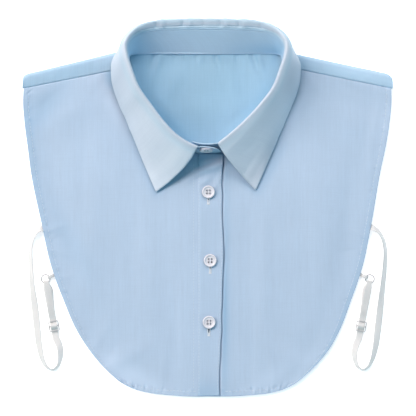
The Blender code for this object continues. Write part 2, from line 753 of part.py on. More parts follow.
def slider(side, collection):
    """Build the slider: a flat frame with a bar across its middle."""
    x, y = SLIDERS[side]
    ring_x, ring_y = RINGS[side]
    facing = math.atan2(ring_y - y, ring_x - x)
    bpy.ops.mesh.primitive_cube_add(size=1.0, location=(0, 0, 0))
    made = adopt("slider_" + side, "clear_plastic", collection)
    for vertex in made.data.vertices:
        vertex.co.x *= SLIDER_LENGTH * MM
        vertex.co.y *= SLIDER_WIDTH * MM
        vertex.co.z *= SLIDER_THICKNESS * MM
    slot_length = (SLIDER_LENGTH - 3 * SLIDER_BAR) / 2
    slot_width = SLIDER_WIDTH - 2 * SLIDER_BAR
    bm = bmesh.new()
    for direction in (-1.0, 1.0):
        hole = bmesh.ops.create_cube(bm, size=1.0)
        middle = direction * (SLIDER_BAR + slot_length) / 2
        size = (slot_length * MM, slot_width * MM, CUTTER_DEPTH * MM)
        bmesh.ops.scale(bm, verts=hole["verts"], vec=size)
        bmesh.ops.translate(bm, verts=hole["verts"], vec=(middle * MM, 0.0, 0.0))
    cutter = finish_mesh(bm, "slider_" + side + "_cutter", "clear_plastic", cutters())
    cutter.parent = made
    cutter.hide_render = True
    cutter.display_type = "WIRE"
    cut = made.modifiers.new("slots", "BOOLEAN")
    cut.operation = "DIFFERENCE"
    cut.solver = "EXACT"
    cut.object = cutter
    made.location = (x * MM, y * MM, SLIDER_LEVEL * MM)
    made.rotation_euler = (0.0, 0.0, facing)
    return made


def build():
    """Build the whole collar in an empty scene."""
    for leftover in list(bpy.data.objects):
        bpy.data.objects.remove(leftover, do_unlink=True)
    collection = bpy.data.collections.new(COLLECTION_NAME)
    bpy.context.scene.collection.children.link(collection)
    cloth("back_panel", back_grids(), CLOTH_THICKNESS, collection)
    cloth("front_left", [front_grid("left")], CLOTH_THICKNESS, collection)
    cloth("front_right", [front_grid("right")], CLOTH_THICKNESS, collection)
    cloth("placket", [placket_grid()], CLOTH_THICKNESS, collection)
    cloth("collar_stand", [stand_grid(STAND_ROWS)], COLLAR_THICKNESS, collection)
    leaf = leaf_curves(collar_sections(COLLAR_STATIONS), LEAF_ROWS)
    cloth("collar_leaf", [leaf], COLLAR_THICKNESS, collection)
    placket_surface = UPPER_FRONT_LEVEL + PLACKET_RISE + CLOTH_THICKNESS / 2
    button_level = placket_surface + SEAM_GAP + BUTTON_HEIGHT / 2
    for number, (x, y) in enumerate(BUTTONS, start=1):
        button("button_" + str(number), (x, y, button_level), 0.0, collection)
    place, lean = stand_button_place()
    button("button_stand", place, lean, collection)
    for side in ("left", "right"):
        strap(side, collection)
        ring_tab(side, collection)
        ring(side, collection)
        slider(side, collection)


build()
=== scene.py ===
"""Detachable shirt collar laid flat: thin cloth shells, stitching, buttons and elastic straps.

Lengths in the tables are millimetres; every mesh is built in metres.
The garment lies on its back: +Y points from the hem to the neck, +Z points up.
A range such as (54.0, 48.0) is where a form eases from 0 to 1.
"""
import math

import bmesh
import bpy
import numpy as np
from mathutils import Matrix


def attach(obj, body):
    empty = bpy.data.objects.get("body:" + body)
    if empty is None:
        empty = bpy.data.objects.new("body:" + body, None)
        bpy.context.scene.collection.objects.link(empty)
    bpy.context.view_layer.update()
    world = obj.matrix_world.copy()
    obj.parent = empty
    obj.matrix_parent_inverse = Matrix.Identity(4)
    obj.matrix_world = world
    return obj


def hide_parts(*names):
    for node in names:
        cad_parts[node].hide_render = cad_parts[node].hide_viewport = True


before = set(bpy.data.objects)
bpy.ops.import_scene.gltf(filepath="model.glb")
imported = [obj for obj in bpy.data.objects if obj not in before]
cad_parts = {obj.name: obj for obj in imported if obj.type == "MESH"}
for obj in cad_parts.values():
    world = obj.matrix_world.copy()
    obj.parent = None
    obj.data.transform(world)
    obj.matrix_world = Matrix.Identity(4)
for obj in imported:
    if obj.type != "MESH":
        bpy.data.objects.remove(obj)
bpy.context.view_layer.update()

MM = 0.001
SIDES = ("left", "right")

# Cloth
CLOTH_WALL = 0.55
COLLAR_WALL = 1.0
NECK_SEAM_SETBACK = 1.6
SEAM_GAP = 0.3

# Heights of the middle of each cloth layer above the table
BACK_LEVEL = 0.5
LOWER_FRONT_LEVEL = 1.8
UPPER_FRONT_LEVEL = 3.1
PLACKET_LEVEL = 4.55
FOLD_RADIUS = 3.0
SHOULDER_SEAM_LEVEL = 4.7
SHOULDER_SLOPE_LENGTH = 24.0

# Front opening
PLACKET_LEFT = -9.0
PLACKET_MIDDLE = 2.0
PLACKET_TOP = 48.9
PLACKET_BOTTOM = -169.2
NECK_CORNER = {"left": (12.0, 48.0), "right": (-8.0, 49.4)}
OPENING_END = {"left": (9.6, -168.9), "right": (-8.0, -169.3)}
GARMENT_MIDDLE = -0.4

# Outer edge of the fronts from the shoulder corner to the hem corner
SIDE_EDGE = [
    # height_y, left_x, right_x
    (107.8, -165.6, 164.7),
    (97.0, -166.3, 165.1),
    (75.4, -164.8, 163.2),
    (53.8, -162.0, 159.6),
    (32.2, -159.2, 155.0),
    (-11.0, -150.3, 147.6),
    (-54.2, -140.4, 138.6),
    (-83.0, -129.8, 128.8),
    (-111.8, -117.0, 117.6),
    (-126.2, -107.8, 109.6),
    (-140.6, -96.3, 98.0),
    (-155.0, -80.6, 82.0),
]

# Bottom hem from the hem corner to the middle
HEM_EDGE = [
    # height_y, left_x, right_x
    (-155.0, -80.6, 82.0),
    (-162.2, -68.4, 70.6),
    (-166.0, -54.0, 58.0),
    (-168.4, -34.0, 38.0),
    (-169.6, -8.0, 10.6),
]

# Fold over the shoulder, from the corner to the neck
FOLD_LINE = {
    "left": (
        (-166.4, 113.6), (-165.4, 118.4), (-162.0, 120.4),
        (-156.0, 121.9), (-130.0, 128.2), (-74.6, 141.8),
    ),
    "right": (
        (165.9, 112.6), (164.7, 117.4), (161.4, 120.2),
        (156.0, 121.6), (130.0, 127.2), (70.6, 139.9),
    ),
}
FOLD_STEPS = (4, 4, 6, 24, 50)

# Seam where the back piece meets the fronts: outer end, neck end
SHOULDER_SEAM = {
    "left": ((-165.6, 107.8), (-74.6, 125.9)),
    "right": ((164.7, 107.8), (70.6, 127.0)),
}

# Collar sections from each front end towards the middle of the back
LEFT_FRONT_SECTIONS = [
    # roll_x, roll_y, roll_z, edge_x, edge_y, edge_z, foot_x, foot_y, foot_z, turn, bulge
    (-9.0, 55.8, 28.0, -46.6, 14.5, 5.6, -7.7, 49.6, 3.7, 3.8, 1.0),
    (-27.7, 66.4, 30.0, -55.4, 34.9, 5.2, -32.4, 59.7, 3.8, 4.0, 1.4),
    (-39.4, 78.5, 32.0, -63.9, 55.6, 5.0, -44.6, 72.3, 4.0, 4.0, 1.8),
    (-50.6, 93.2, 34.0, -72.5, 76.8, 5.2, -55.4, 88.5, 4.2, 4.0, 1.8),
]
RIGHT_FRONT_SECTIONS = [
    # roll_x, roll_y, roll_z, edge_x, edge_y, edge_z, foot_x, foot_y, foot_z, turn, bulge
    (9.6, 59.6, 27.5, 43.4, 17.4, 5.2, 12.6, 51.6, 3.1, 3.8, 1.0),
    (22.1, 69.6, 30.0, 52.2, 37.6, 5.0, 27.0, 61.9, 3.6, 4.0, 1.4),
    (34.7, 81.3, 32.0, 59.9, 55.6, 5.0, 40.1, 72.7, 4.0, 4.0, 1.8),
    (46.4, 93.9, 34.0, 68.2, 75.4, 5.2, 50.9, 88.5, 4.2, 4.0, 1.8),
]
SHARED_SECTIONS = [
    # roll_x, roll_y, roll_z, edge_x, edge_y, edge_z, foot_x, foot_y, foot_z, turn, bulge
    (-61.4, 108.5, 36.0, -81.0, 96.1, 5.8, -64.8, 105.1, 4.6, 4.0, 1.6),
    (-68.2, 125.5, 37.0, -86.6, 115.9, 8.4, -69.8, 121.3, 5.2, 4.0, 1.2),
    (-72.2, 138.0, 36.6, -85.9, 133.0, 8.6, -71.2, 132.1, 5.2, 4.0, 1.0),
    (-73.0, 147.0, 34.6, -79.2, 142.8, 7.4, -70.2, 136.9, 3.6, 4.4, 1.0),
    (-69.2, 154.6, 31.0, -72.8, 149.0, 3.4, -66.6, 138.4, 2.6, 5.4, 1.6),
    (-61.0, 162.0, 26.5, -60.6, 151.6, 1.2, -59.4, 138.5, 2.3, 6.8, 3.2),
    (-49.0, 166.2, 23.0, -47.4, 148.2, 0.9, -47.7, 138.7, 2.3, 7.8, 5.2),
    (-27.0, 168.0, 20.4, -26.1, 147.4, 0.9, -25.2, 138.5, 2.3, 8.1, 6.2),
]
CENTRE_SECTION = (-2.0, 168.6, 19.6, -2.0, 147.2, 0.9, -2.0, 138.4, 2.3, 8.1, 6.4)
COLLAR_AXIS_X = -2.0

# Ends of the stand past the collar, where the two ends lap over each other
LEFT_STAND_END = [
    # top_x, top_y, top_z, foot_x, foot_y, foot_z
    (11.2, 51.8, 13.0, 11.4, 50.9, 6.6),
    (10.2, 52.5, 17.6, 10.4, 50.3, 4.7),
    (7.6, 53.4, 21.6, 7.8, 50.0, 3.9),
    (0.0, 54.7, 23.6, 0.4, 50.0, 3.9),
]
RIGHT_STAND_END = [
    # top_x, top_y, top_z, foot_x, foot_y, foot_z
    (-14.0, 59.6, 21.6, -14.0, 55.0, 2.6),
    (-7.4, 58.0, 22.6, -7.4, 52.4, 2.6),
    (1.0, 57.6, 23.0, 1.4, 51.9, 2.6),
]

# Largest soft folds of the fronts
PANEL_FOLDS = [
    # centre_x, centre_y, degrees_from_x, half_length, half_width, height
    (-118.0, 92.0, 38.0, 42.0, 13.0, 1.3),
    (-104.0, -20.0, 84.0, 66.0, 14.0, 1.2),
    (-52.0, -74.0, 96.0, 58.0, 11.0, 0.9),
    (-76.0, -136.0, 30.0, 26.0, 8.0, 1.0),
    (116.0, 86.0, -36.0, 44.0, 14.0, 1.3),
    (100.0, -10.0, 95.0, 70.0, 15.0, 1.3),
    (52.0, -60.0, 86.0, 62.0, 12.0, 1.0),
    (72.0, -134.0, -32.0, 28.0, 9.0, 1.0),
]

# Smaller creases of the fronts, which only the cloth shell carries
PANEL_CREASES = [
    (-140.0, 100.0, 36.0, 30.0, 5.0, -0.35),
    (-92.0, 119.0, 62.0, 20.0, 4.5, -0.6),
    (-86.0, 100.0, 70.0, 16.0, 4.0, 0.35),
    (-112.0, 20.0, 88.0, 60.0, 6.0, -0.4),
    (-82.0, 10.0, 92.0, 70.0, 5.0, 0.3),
    (-66.0, -20.0, 88.0, 60.0, 5.0, -0.3),
    (-138.0, -18.0, 20.0, 12.0, 2.6, 0.4),
    (-137.0, -27.0, 12.0, 11.0, 2.4, -0.35),
    (-132.0, -40.0, -14.0, 14.0, 3.0, 0.35),
    (-126.0, -62.0, 34.0, 15.0, 3.2, 0.3),
    (-98.0, -118.0, 58.0, 26.0, 4.4, 0.45),
    (-88.0, -132.0, 62.0, 18.0, 3.4, -0.3),
    (-40.0, -140.0, 82.0, 26.0, 3.6, 0.3),
    (-28.0, -112.0, 92.0, 34.0, 3.6, -0.3),
    (-30.0, 0.0, 91.0, 40.0, 4.0, 0.25),
    (150.0, 72.0, 82.0, 44.0, 4.0, 0.4),
    (132.0, 106.0, -24.0, 26.0, 4.4, -0.35),
    (96.0, 112.0, -50.0, 20.0, 4.4, 0.4),
    (88.0, 60.0, -72.0, 30.0, 5.0, -0.35),
    (126.0, 10.0, 88.0, 60.0, 5.6, -0.35),
    (76.0, 0.0, 94.0, 62.0, 5.4, 0.3),
    (58.0, -30.0, 90.0, 50.0, 4.6, -0.3),
    (134.0, -22.0, -18.0, 13.0, 2.8, 0.35),
    (129.0, -38.0, 10.0, 14.0, 3.0, -0.3),
    (104.0, -126.0, -52.0, 22.0, 3.6, 0.5),
    (92.0, -130.0, -58.0, 18.0, 3.2, -0.35),
    (58.0, -142.0, -76.0, 24.0, 3.4, 0.4),
    (40.0, -118.0, 88.0, 34.0, 3.8, -0.3),
    (26.0, -60.0, 90.0, 44.0, 3.6, 0.2),
]

# Soft folds across the top of the placket and the front under it
NECK_FOLDS = [
    (6.0, 37.0, 26.0, 12.0, 3.6, 1.9),
    (-5.0, 29.4, 22.0, 8.0, 3.0, -0.8),
    (-15.0, 28.0, 38.0, 9.0, 3.4, 1.1),
    (-2.0, 24.5, 40.0, 7.0, 2.6, 0.7),
    (9.0, 24.0, 66.0, 9.0, 2.6, 0.7),
    (-4.0, 43.0, 8.0, 9.0, 3.0, 0.5),
]

# Right edge of the placket, which wanders
PLACKET_RIGHT = [
    # height_y, edge_x
    (48.9, 13.5), (45.3, 13.4), (34.5, 12.8), (23.7, 12.1), (18.3, 12.2), (12.9, 12.7), (2.1, 12.4),
    (-14.1, 12.8), (-24.9, 13.4), (-46.5, 13.8), (-57.3, 13.2), (-73.5, 12.7), (-84.3, 12.6),
    (-95.1, 12.0), (-111.3, 12.0), (-122.1, 11.2), (-132.9, 11.0), (-143.7, 10.3), (-169.0, 10.3),
]

BUTTONS = [
    # centre_x, centre_y
    (0.4, 14.4),
    (2.0, -47.3),
    (1.0, -102.8),
]


# ---- curves and grids ---------------------------------------------------------------------


def run_length(points, axis):
    """Return how far each point lies along its own line of points."""
    steps = np.linalg.norm(np.diff(points, axis=axis), axis=-1)
    start_shape = list(steps.shape)
    start_shape[axis] = 1
    return np.concatenate([np.zeros(start_shape), np.cumsum(steps, axis=axis)], axis=axis)


def through(points, shares):
    """Return rows at shares, 0 to 1, of the length of a smooth curve through the points."""
    points = np.asarray(points, dtype=float)
    marks = run_length(points[:, :3], 0)
    chords = np.diff(marks)
    slopes = np.gradient(points, marks, axis=0, edge_order=min(2, len(points) - 1))
    at = np.asarray(shares) * marks[-1]
    span = np.clip(np.searchsorted(marks, at, side="right") - 1, 0, len(chords) - 1)
    length = chords[span][:, None]
    t = ((at - marks[span]) / chords[span])[:, None]
    return (
        (2 * t ** 3 - 3 * t ** 2 + 1) * points[span]
        + (t ** 3 - 2 * t ** 2 + t) * length * slopes[span]
        + (-2 * t ** 3 + 3 * t ** 2) * points[span + 1]
        + (t ** 3 - t ** 2) * length * slopes[span + 1]
    )


def evenly(count):
    """Return even shares from 0 to 1."""
    return np.linspace(0.0, 1.0, count)


def banded(*bands):
    """Join runs of even steps: each band is (start, end, steps)."""
    runs = [np.linspace(start, end, steps, endpoint=False) for start, end, steps in bands]
    return np.concatenate(runs + [[bands[-1][1]]])


def span_shares(points, steps):
    """Return shares along a chain of points, with a number of steps for each span."""
    marks = run_length(np.asarray(points, dtype=float)[:, :3], 0)
    marks = marks / marks[-1]
    return banded(*zip(marks[:-1], marks[1:], steps))


def interpolated(at, marks, rows):
    """Return rows at places along the marks of the rows."""
    return np.column_stack([np.interp(at, marks, column) for column in rows.T])


def looked_up(at, table):
    """Return the values between the (place, value) rows of a table."""
    return np.interp(at, *zip(*table))


def unit(vectors):
    """Scale rows to length one."""
    return vectors / np.maximum(np.linalg.norm(vectors, axis=-1, keepdims=True), 1e-9)


def square_to(vectors, directions):
    """Return the part of each row that is square to its direction, at length one."""
    return unit(vectors - np.sum(vectors * directions, axis=1, keepdims=True) * directions)


def patch(inner, outer, top, bottom, down, across):
    """Fill a four-sided outline: rows run from top to bottom, columns from inner to outer."""
    down = down[:, None, None]
    across = across[None, :, None]
    between_sides = (1 - across) * inner[:, None] + across * outer[:, None]
    between_ends = (1 - down) * top[None] + down * bottom[None]
    corners = (1 - down) * ((1 - across) * inner[0] + across * outer[0])
    corners = corners + down * ((1 - across) * inner[-1] + across * outer[-1])
    return between_sides + between_ends - corners


def grid_normals(grid):
    """Return the direction square to a grid at each point."""
    return unit(np.cross(np.gradient(grid, axis=0), np.gradient(grid, axis=1)))


# ---- forms of the cloth -------------------------------------------------------------------

# How far a hump wanders across its own line, as a share of its width, and the waves of that
HUMP_BEND = 0.06
HUMP_BEND_WAVES = 2.6


def eased(value, start, end):
    """Ease from 0 at start to 1 at end; start may be the larger of the two."""
    share = np.clip((value - start) / (end - start), 0.0, 1.0)
    return share * share * (3.0 - 2.0 * share)


def near(distance, reach, power=2):
    """Return 1 at distance 0 and ease to 0 past the reach; a higher power keeps the top flatter."""
    return np.exp(-(distance / reach) ** power)


def ridges(distance, table):
    """Return the height of straight ridges and grooves: rows of (distance, half_width, height)."""
    return sum(height * near(distance - place, half_width) for place, half_width, height in table)


def humps(x, y, table):
    """Return the height that soft long humps and troughs add at each point."""
    total = np.zeros_like(x)
    for centre_x, centre_y, degrees, half_length, half_width, height in table:
        cos = math.cos(math.radians(degrees))
        sin = math.sin(math.radians(degrees))
        along = ((x - centre_x) * cos + (y - centre_y) * sin) / half_length
        across = (y - centre_y) * cos - (x - centre_x) * sin
        bend = HUMP_BEND * half_width * np.sin(along * HUMP_BEND_WAVES + centre_x)
        total += height * np.exp(-along ** 2 - ((across + bend) / half_width) ** 2)
    return total


def ripple(at, height, seed, spacing):
    """Return an uneven wave of about a height, with crests about spacing apart."""
    turn = at * (2 * math.pi / spacing)
    wander = 0.8 * np.sin(0.21 * turn + seed)
    # three waves whose lengths never fall into step
    return height * (
        0.55 * np.sin(turn + 1.7 * seed)
        + 0.35 * np.sin(1.63 * turn + 3.1 * seed + wander)
        + 0.25 * np.sin(0.57 * turn + 5.3 * seed)
    )


# ---- the garment's own surfaces -----------------------------------------------------------

# Columns of a collar section
ROLL, EDGE, FOOT, TURN, BULGE = slice(0, 3), slice(3, 6), slice(6, 9), slice(9, 10), slice(10, 11)
SIDEWAYS_COLUMNS = (0, 3, 6)

NECK_STATIONS = 53
NECK_END_SETBACK = 1.5

# The leaf, from its seam over the roll
LEAF_SEAM_GAP = 0.12
LEAF_UPRIGHT = 1.4
LEAF_MIDDLE_SHARE = 0.45
LEAF_LOWEST_LEVEL = 0.8
ROLL_WIDTH = 3.9
ROLL_DROP = 1.0
CREST_RISE = 0.5
CREST_SHARE = 0.42

# Distances from the placket's middle over which the folds of the fronts come in
FOLD_RANGE = (18.0, 40.0)
# Where the lower front sinks under the upper one
SINK_RANGE = (40.0, 14.0)


def mirrored(row):
    """Swap a collar section to the other side of the collar's axis."""
    swapped = list(row)
    for column in SIDEWAYS_COLUMNS:
        swapped[column] = 2 * COLLAR_AXIS_X - swapped[column]
    return tuple(swapped)


def collar_sections(count):
    """Return collar sections from the left front end round the back to the right front end."""
    back_right = [mirrored(row) for row in reversed(SHARED_SECTIONS)]
    rows = LEFT_FRONT_SECTIONS + SHARED_SECTIONS + [CENTRE_SECTION]
    return through(rows + back_right + RIGHT_FRONT_SECTIONS[::-1], evenly(count))


def stand_top(sections):
    """Return where the stand's top edge lies below the roll."""
    roll = sections[:, ROLL]
    return roll - unit(roll - sections[:, FOOT]) * sections[:, TURN]


def leaf_grid(sections, shares):
    """Return a grid whose rows run from the stand's top over the roll to the leaf's edge."""
    roll = sections[:, ROLL]
    edge = sections[:, EDGE]
    rise = unit(roll - sections[:, FOOT])
    start = stand_top(sections) + rise * LEAF_SEAM_GAP
    away = square_to(edge - roll, rise)
    shoulder = roll + away * ROLL_WIDTH - rise * ROLL_DROP
    side = square_to(away, unit(edge - shoulder))
    middle = shoulder + (edge - shoulder) * LEAF_MIDDLE_SHARE + side * sections[:, BULGE]
    upright = start + rise * LEAF_UPRIGHT
    crest = roll + rise * CREST_RISE + away * ROLL_WIDTH * CREST_SHARE
    rows = zip(start, upright, crest, shoulder, middle, edge)
    grid = np.array([through(keys, shares) for keys in rows])
    grid[..., 2] = np.maximum(grid[..., 2], LEAF_LOWEST_LEVEL)
    return grid


def stand_grid(stations, end_stations, shares):
    """Return the stand's grid: stations along the neck, rows from foot to top."""
    sections = collar_sections(stations)
    ring = np.hstack([stand_top(sections), sections[:, FOOT]])
    left_end = through(LEFT_STAND_END + [tuple(ring[0])], evenly(end_stations))[:-1]
    right_end = through([tuple(ring[-1])] + RIGHT_STAND_END[::-1], evenly(end_stations))[1:]
    ring = np.vstack([left_end, ring, right_end])
    across = shares[None, :, None]
    return ring[:, None, 3:6] * (1 - across) + ring[:, None, 0:3] * across


def shoulder_seam_y(x, side):
    """Return how high up the shoulder seam lies at x."""
    (outer_x, outer_y), (neck_x, neck_y) = SHOULDER_SEAM[side]
    return outer_y + (neck_y - outer_y) * (x - outer_x) / (neck_x - outer_x)


def clear_of_placket(x, start, end):
    """Ease from 0 to 1 over a range of distances from the placket's middle."""
    return eased(np.abs(x - PLACKET_MIDDLE), start, end)


def front_level(x, y, side):
    """Return the height of the middle of a front, without its small creases."""
    shoulder = eased(shoulder_seam_y(x, side) - y, SHOULDER_SLOPE_LENGTH, 0.0)
    level = UPPER_FRONT_LEVEL + (SHOULDER_SEAM_LEVEL - UPPER_FRONT_LEVEL) * shoulder
    if side == "right":
        level = level - (UPPER_FRONT_LEVEL - LOWER_FRONT_LEVEL) * eased(x, *SINK_RANGE)
    return level + humps(x, y, PANEL_FOLDS) * clear_of_placket(x, *FOLD_RANGE)


def neck_edge(side, shares):
    """Return the neck edge of a front, set back from the foot of the stand."""
    seam_x, seam_y = SHOULDER_SEAM[side][1]
    foot = collar_sections(NECK_STATIONS)[:, FOOT][:, :2]
    if side == "right":
        foot = foot[::-1]
    foot = foot[:int(np.argmin(foot[:, 1] < seam_y - NECK_END_SETBACK))]
    along = unit(np.gradient(foot, axis=0))
    turn = 1.0 if side == "left" else -1.0
    outward = np.stack([-along[:, 1], along[:, 0]], axis=1) * turn
    edge = (foot + outward * NECK_SEAM_SETBACK)[::-1]
    keys = np.vstack([(seam_x, seam_y - SEAM_GAP), edge[1:-1:3], NECK_CORNER[side]])
    return through(keys, shares)


def side_points(side, rows, inset=0.0, rise=0.0):
    """Return the outline of one side from a table of both, drawn in and raised by a little."""
    column = 1 + SIDES.index(side)
    inward = inset if side == "left" else -inset
    return [(row[column] + inward, row[0] + rise) for row in rows]


# ---- hems, seams and puckers --------------------------------------------------------------

STITCH_INSET = 4.7
HEM_STEP = 0.34
HEM_STEP_RANGE = (5.9, 4.9)
# Ridges (above 0) and grooves: rows of distance from the edge or seam, half width and height
HEM_RIDGES = [(STITCH_INSET, 0.7, -0.34), (0.0, 0.4, -0.06)]
PUCKER_REACH = 3.4
PUCKER_LEAN = 0.5
SIDE_PUCKERS = 0.42
HEM_PUCKERS_LEAST = 0.14
# Distances from the placket's middle over which the hem's own relief comes in
HEM_RANGE = (12.0, 20.0)

# Stronger puckers along the bottom hem
HEM_PUCKERS = [
    # centre_x, half_width, height
    (-74.0, 13.0, 1.35),
    (-50.0, 12.0, 0.60),
    (-20.0, 9.0, 0.20),
    (24.0, 10.0, 0.20),
    (42.0, 9.0, 0.60),
    (64.0, 12.0, 0.70),
]


def hem_relief(to_edge):
    """Return the step of a doubled hem, the groove of its stitching and its rounded edge."""
    return HEM_STEP * eased(to_edge, *HEM_STEP_RANGE) + ridges(to_edge, HEM_RIDGES)


def hem_puckers(along, to_edge, seed):
    """Return small puckers that run in from a stitched edge."""
    fine = ripple(along + PUCKER_LEAN * to_edge, height=0.7, seed=seed, spacing=5.2)
    wide = ripple(along, height=0.4, seed=seed + 1.0, spacing=11.0)
    return (fine + wide) * near(to_edge - STITCH_INSET, PUCKER_REACH)


# Rows of a front's grid count down from the shoulder: first along the neck, then the opening
FRONT_ROW_BANDS = ((0.0, 0.7, 8), (0.7, 24.3, 150), (24.3, 25.0, 18))
FRONT_COLUMN_BANDS = ((0.0, 0.93, 96), (0.93, 1.0, 20))
FRONT_ROWS = 25.0
NECK_ROWS = 10.0

# Share of the small creases that is left beside the placket
CREASE_SHARE = 0.25
EDGE_SEED = {"left": 1.0, "right": 2.3}

# The lower front rises beside the free edge of the placket
FREE_EDGE_RISE = 2.1
FREE_EDGE_TOP_RANGE = (54.0, 48.0)
FREE_EDGE_RANGE = (-0.35, 1.35)
FREE_EDGE_FADE_RANGE = (40.0, 16.0)

# The upper front lies snug against the placket's seam, and lower under the placket itself
SNUG_RISE = 0.72
SNUG_RANGE = (36.0, 14.0)
UNDER_PLACKET_DROP = 0.34
UNDER_PLACKET_LEFT_RANGE = (-8.4, -6.4)
UNDER_PLACKET_RIGHT_RANGE = (26.0, 16.0)

# The shoulder seam dips at its edge and puckers beside it
SEAM_RIDGES = [(0.0, 0.6, -0.10)]
SEAM_PUCKER_REACH = 5.0

# Each front dips a little inside its side hem
SIDE_DIP = {"left": -1.2, "right": -0.55}
SIDE_DIP_DISTANCE = 19.0
SIDE_DIP_HALF_WIDTH = 10.0
SIDE_DIP_RANGE = (0.0, 30.0)


def front_plan(side):
    """Return the outline of one front, filled with a flat grid."""
    rows = banded(*FRONT_ROW_BANDS)
    columns = banded(*FRONT_COLUMN_BANDS)
    neck = neck_edge(side, rows[rows <= NECK_ROWS] / NECK_ROWS)
    opening_shares = (rows[rows > NECK_ROWS] - NECK_ROWS) / (FRONT_ROWS - NECK_ROWS)
    inner = np.vstack([neck, through([NECK_CORNER[side], OPENING_END[side]], opening_shares)])
    outer = through(side_points(side, SIDE_EDGE), rows / FRONT_ROWS)
    outer[0, 1] -= SEAM_GAP
    top = through([tuple(inner[0]), tuple(outer[0])], columns)
    bottom = through([OPENING_END[side]] + side_points(side, HEM_EDGE)[::-1], columns)
    return patch(inner, outer, top, bottom, rows / FRONT_ROWS, columns)


def relief_by_placket(x, y, side):
    """Return how a front rises and falls beside the placket."""
    if side == "right":
        past_edge = x - looked_up(y, PLACKET_RIGHT[::-1])
        rise = FREE_EDGE_RISE + ripple(y, height=0.35, seed=1.3, spacing=74.0)
        rise = rise * eased(y, *FREE_EDGE_TOP_RANGE)
        return rise * eased(past_edge, *FREE_EDGE_RANGE) * eased(x, *FREE_EDGE_FADE_RANGE)
    under = eased(x, *UNDER_PLACKET_LEFT_RANGE) * eased(x, *UNDER_PLACKET_RIGHT_RANGE)
    snug = SNUG_RISE * eased(np.abs(x), *SNUG_RANGE)
    return snug - UNDER_PLACKET_DROP * under + humps(x, y, NECK_FOLDS)


def relief_by_edges(plan, side):
    """Return the hems, the shoulder seam and the puckers of a front."""
    x = plan[..., 0]
    down = run_length(plan, 0)
    out = run_length(plan, 1)
    to_side = out[:, -1:] - out
    to_hem = down[-1:] - down
    seed = EDGE_SEED[side]
    relief = hem_relief(to_side) + SIDE_PUCKERS * hem_puckers(down[:, -1:], to_side, seed)
    strength = HEM_PUCKERS_LEAST + ridges(x, HEM_PUCKERS)
    hem = hem_relief(to_hem) + hem_puckers(out[-1:], to_hem, seed + 3.0) * strength
    relief = relief + hem * clear_of_placket(x, *HEM_RANGE)
    seam_puckers = ripple(out, height=0.13, seed=seed + 6.0, spacing=9.5)
    relief = relief + ridges(down, SEAM_RIDGES) + seam_puckers * near(down, SEAM_PUCKER_REACH)
    dip = SIDE_DIP[side] * near(to_side - SIDE_DIP_DISTANCE, SIDE_DIP_HALF_WIDTH)
    return relief + dip * eased(down, *SIDE_DIP_RANGE)


def front_grid(side):
    """Return the middle surface of one front's cloth, with its creases, hems and puckers."""
    plan = front_plan(side)
    x = plan[..., 0]
    y = plan[..., 1]
    crease_share = CREASE_SHARE + (1.0 - CREASE_SHARE) * clear_of_placket(x, *FOLD_RANGE)
    level = front_level(x, y, side) + humps(x, y, PANEL_CREASES) * crease_share
    return np.dstack([plan, level + relief_by_placket(x, y, side) + relief_by_edges(plan, side)])

# Soft creases of the back, seen inside the neck
BACK_CREASES = [
    (-50.5, 133.0, 74.0, 8.0, 2.0, -0.9),
    (-44.5, 131.0, 70.0, 9.0, 2.4, 0.9),
    (-11.0, 135.0, 84.0, 5.5, 1.5, -0.9),
    (-6.5, 134.0, 86.0, 6.5, 1.8, 0.6),
    (7.0, 134.5, 98.0, 6.0, 1.6, -0.9),
    (41.5, 132.0, 108.0, 9.0, 1.9, -1.0),
    (47.0, 132.0, 110.0, 8.0, 2.2, 0.9),
    (26.0, 135.5, 100.0, 5.0, 1.5, -0.7),
    (-30.0, 135.5, 80.0, 5.0, 1.5, -0.7),
    (-48.0, 124.0, 70.0, 16.0, 3.4, 0.6),
    (-34.0, 108.0, 60.0, 26.0, 6.0, 0.9),
    (-12.0, 130.0, 84.0, 9.0, 2.4, 0.5),
    (6.0, 129.0, 96.0, 9.0, 2.2, 0.5),
    (22.0, 112.0, 102.0, 24.0, 6.0, 0.8),
    (42.0, 124.0, 112.0, 15.0, 3.2, 0.6),
    (0.0, 88.0, 4.0, 30.0, 12.0, 0.8),
]


# The neck edge of the back, where it meets the stand
NECK_LINE_Y = 139.9
NECK_LINE_X = (-60.0, -2.0, 56.0)
NECK_LINE_STATIONS = 100
NECK_RANGE = (68.0, 60.0)
NECK_RISE = 1.15
NECK_RISE_REACH = 7.0
NECK_PUCKERS = 0.22
NECK_PUCKER_REACH = 9.0

# The part of the back that shows inside the neck: half its width at the bottom and above
OPENING_HALF_WIDTH = 16.0
OPENING_WIDENING = 46.0
OPENING_WIDENING_RANGE = (62.0, 118.0)
OPENING_BOTTOM_RANGE = (62.0, 74.0)
OPENING_SIDE_RANGE = (0.0, -8.0)

# The back ends a little inside the fronts
BACK_INSET = 2.2
BACK_HEM_RISE = 5.0
BACK_ROW_BANDS = ((0.0, 0.04, 8), (0.04, 0.32, 40), (0.32, 1.0, 22))

# Cloth folded over a shoulder: the fold's steps in degrees and the run down to the seam
SHOULDER_FOLD_DEGREES = range(0, 181, 15)
SHOULDER_BANDS = ((0.06, 0.8, 14), (0.8, 1.0, 8))
SHOULDER_SEED = {"left": 3.0, "right": 4.4}
SHOULDER_PUCKER_RANGE = (165.0, 150.0)
SHOULDER_PUCKER_REACH = 3.6
SHOULDER_RIDGES = [(1.4, 0.9, 0.12), (0.0, 0.55, -0.25)]


def inside_neck(x, y):
    """Return 1 where the back shows inside the neck, easing to 0 under the fronts."""
    half_width = OPENING_HALF_WIDTH + OPENING_WIDENING * eased(y, *OPENING_WIDENING_RANGE)
    past_side = np.abs(x - COLLAR_AXIS_X) - half_width
    return eased(past_side, *OPENING_SIDE_RANGE) * eased(y, *OPENING_BOTTOM_RANGE)


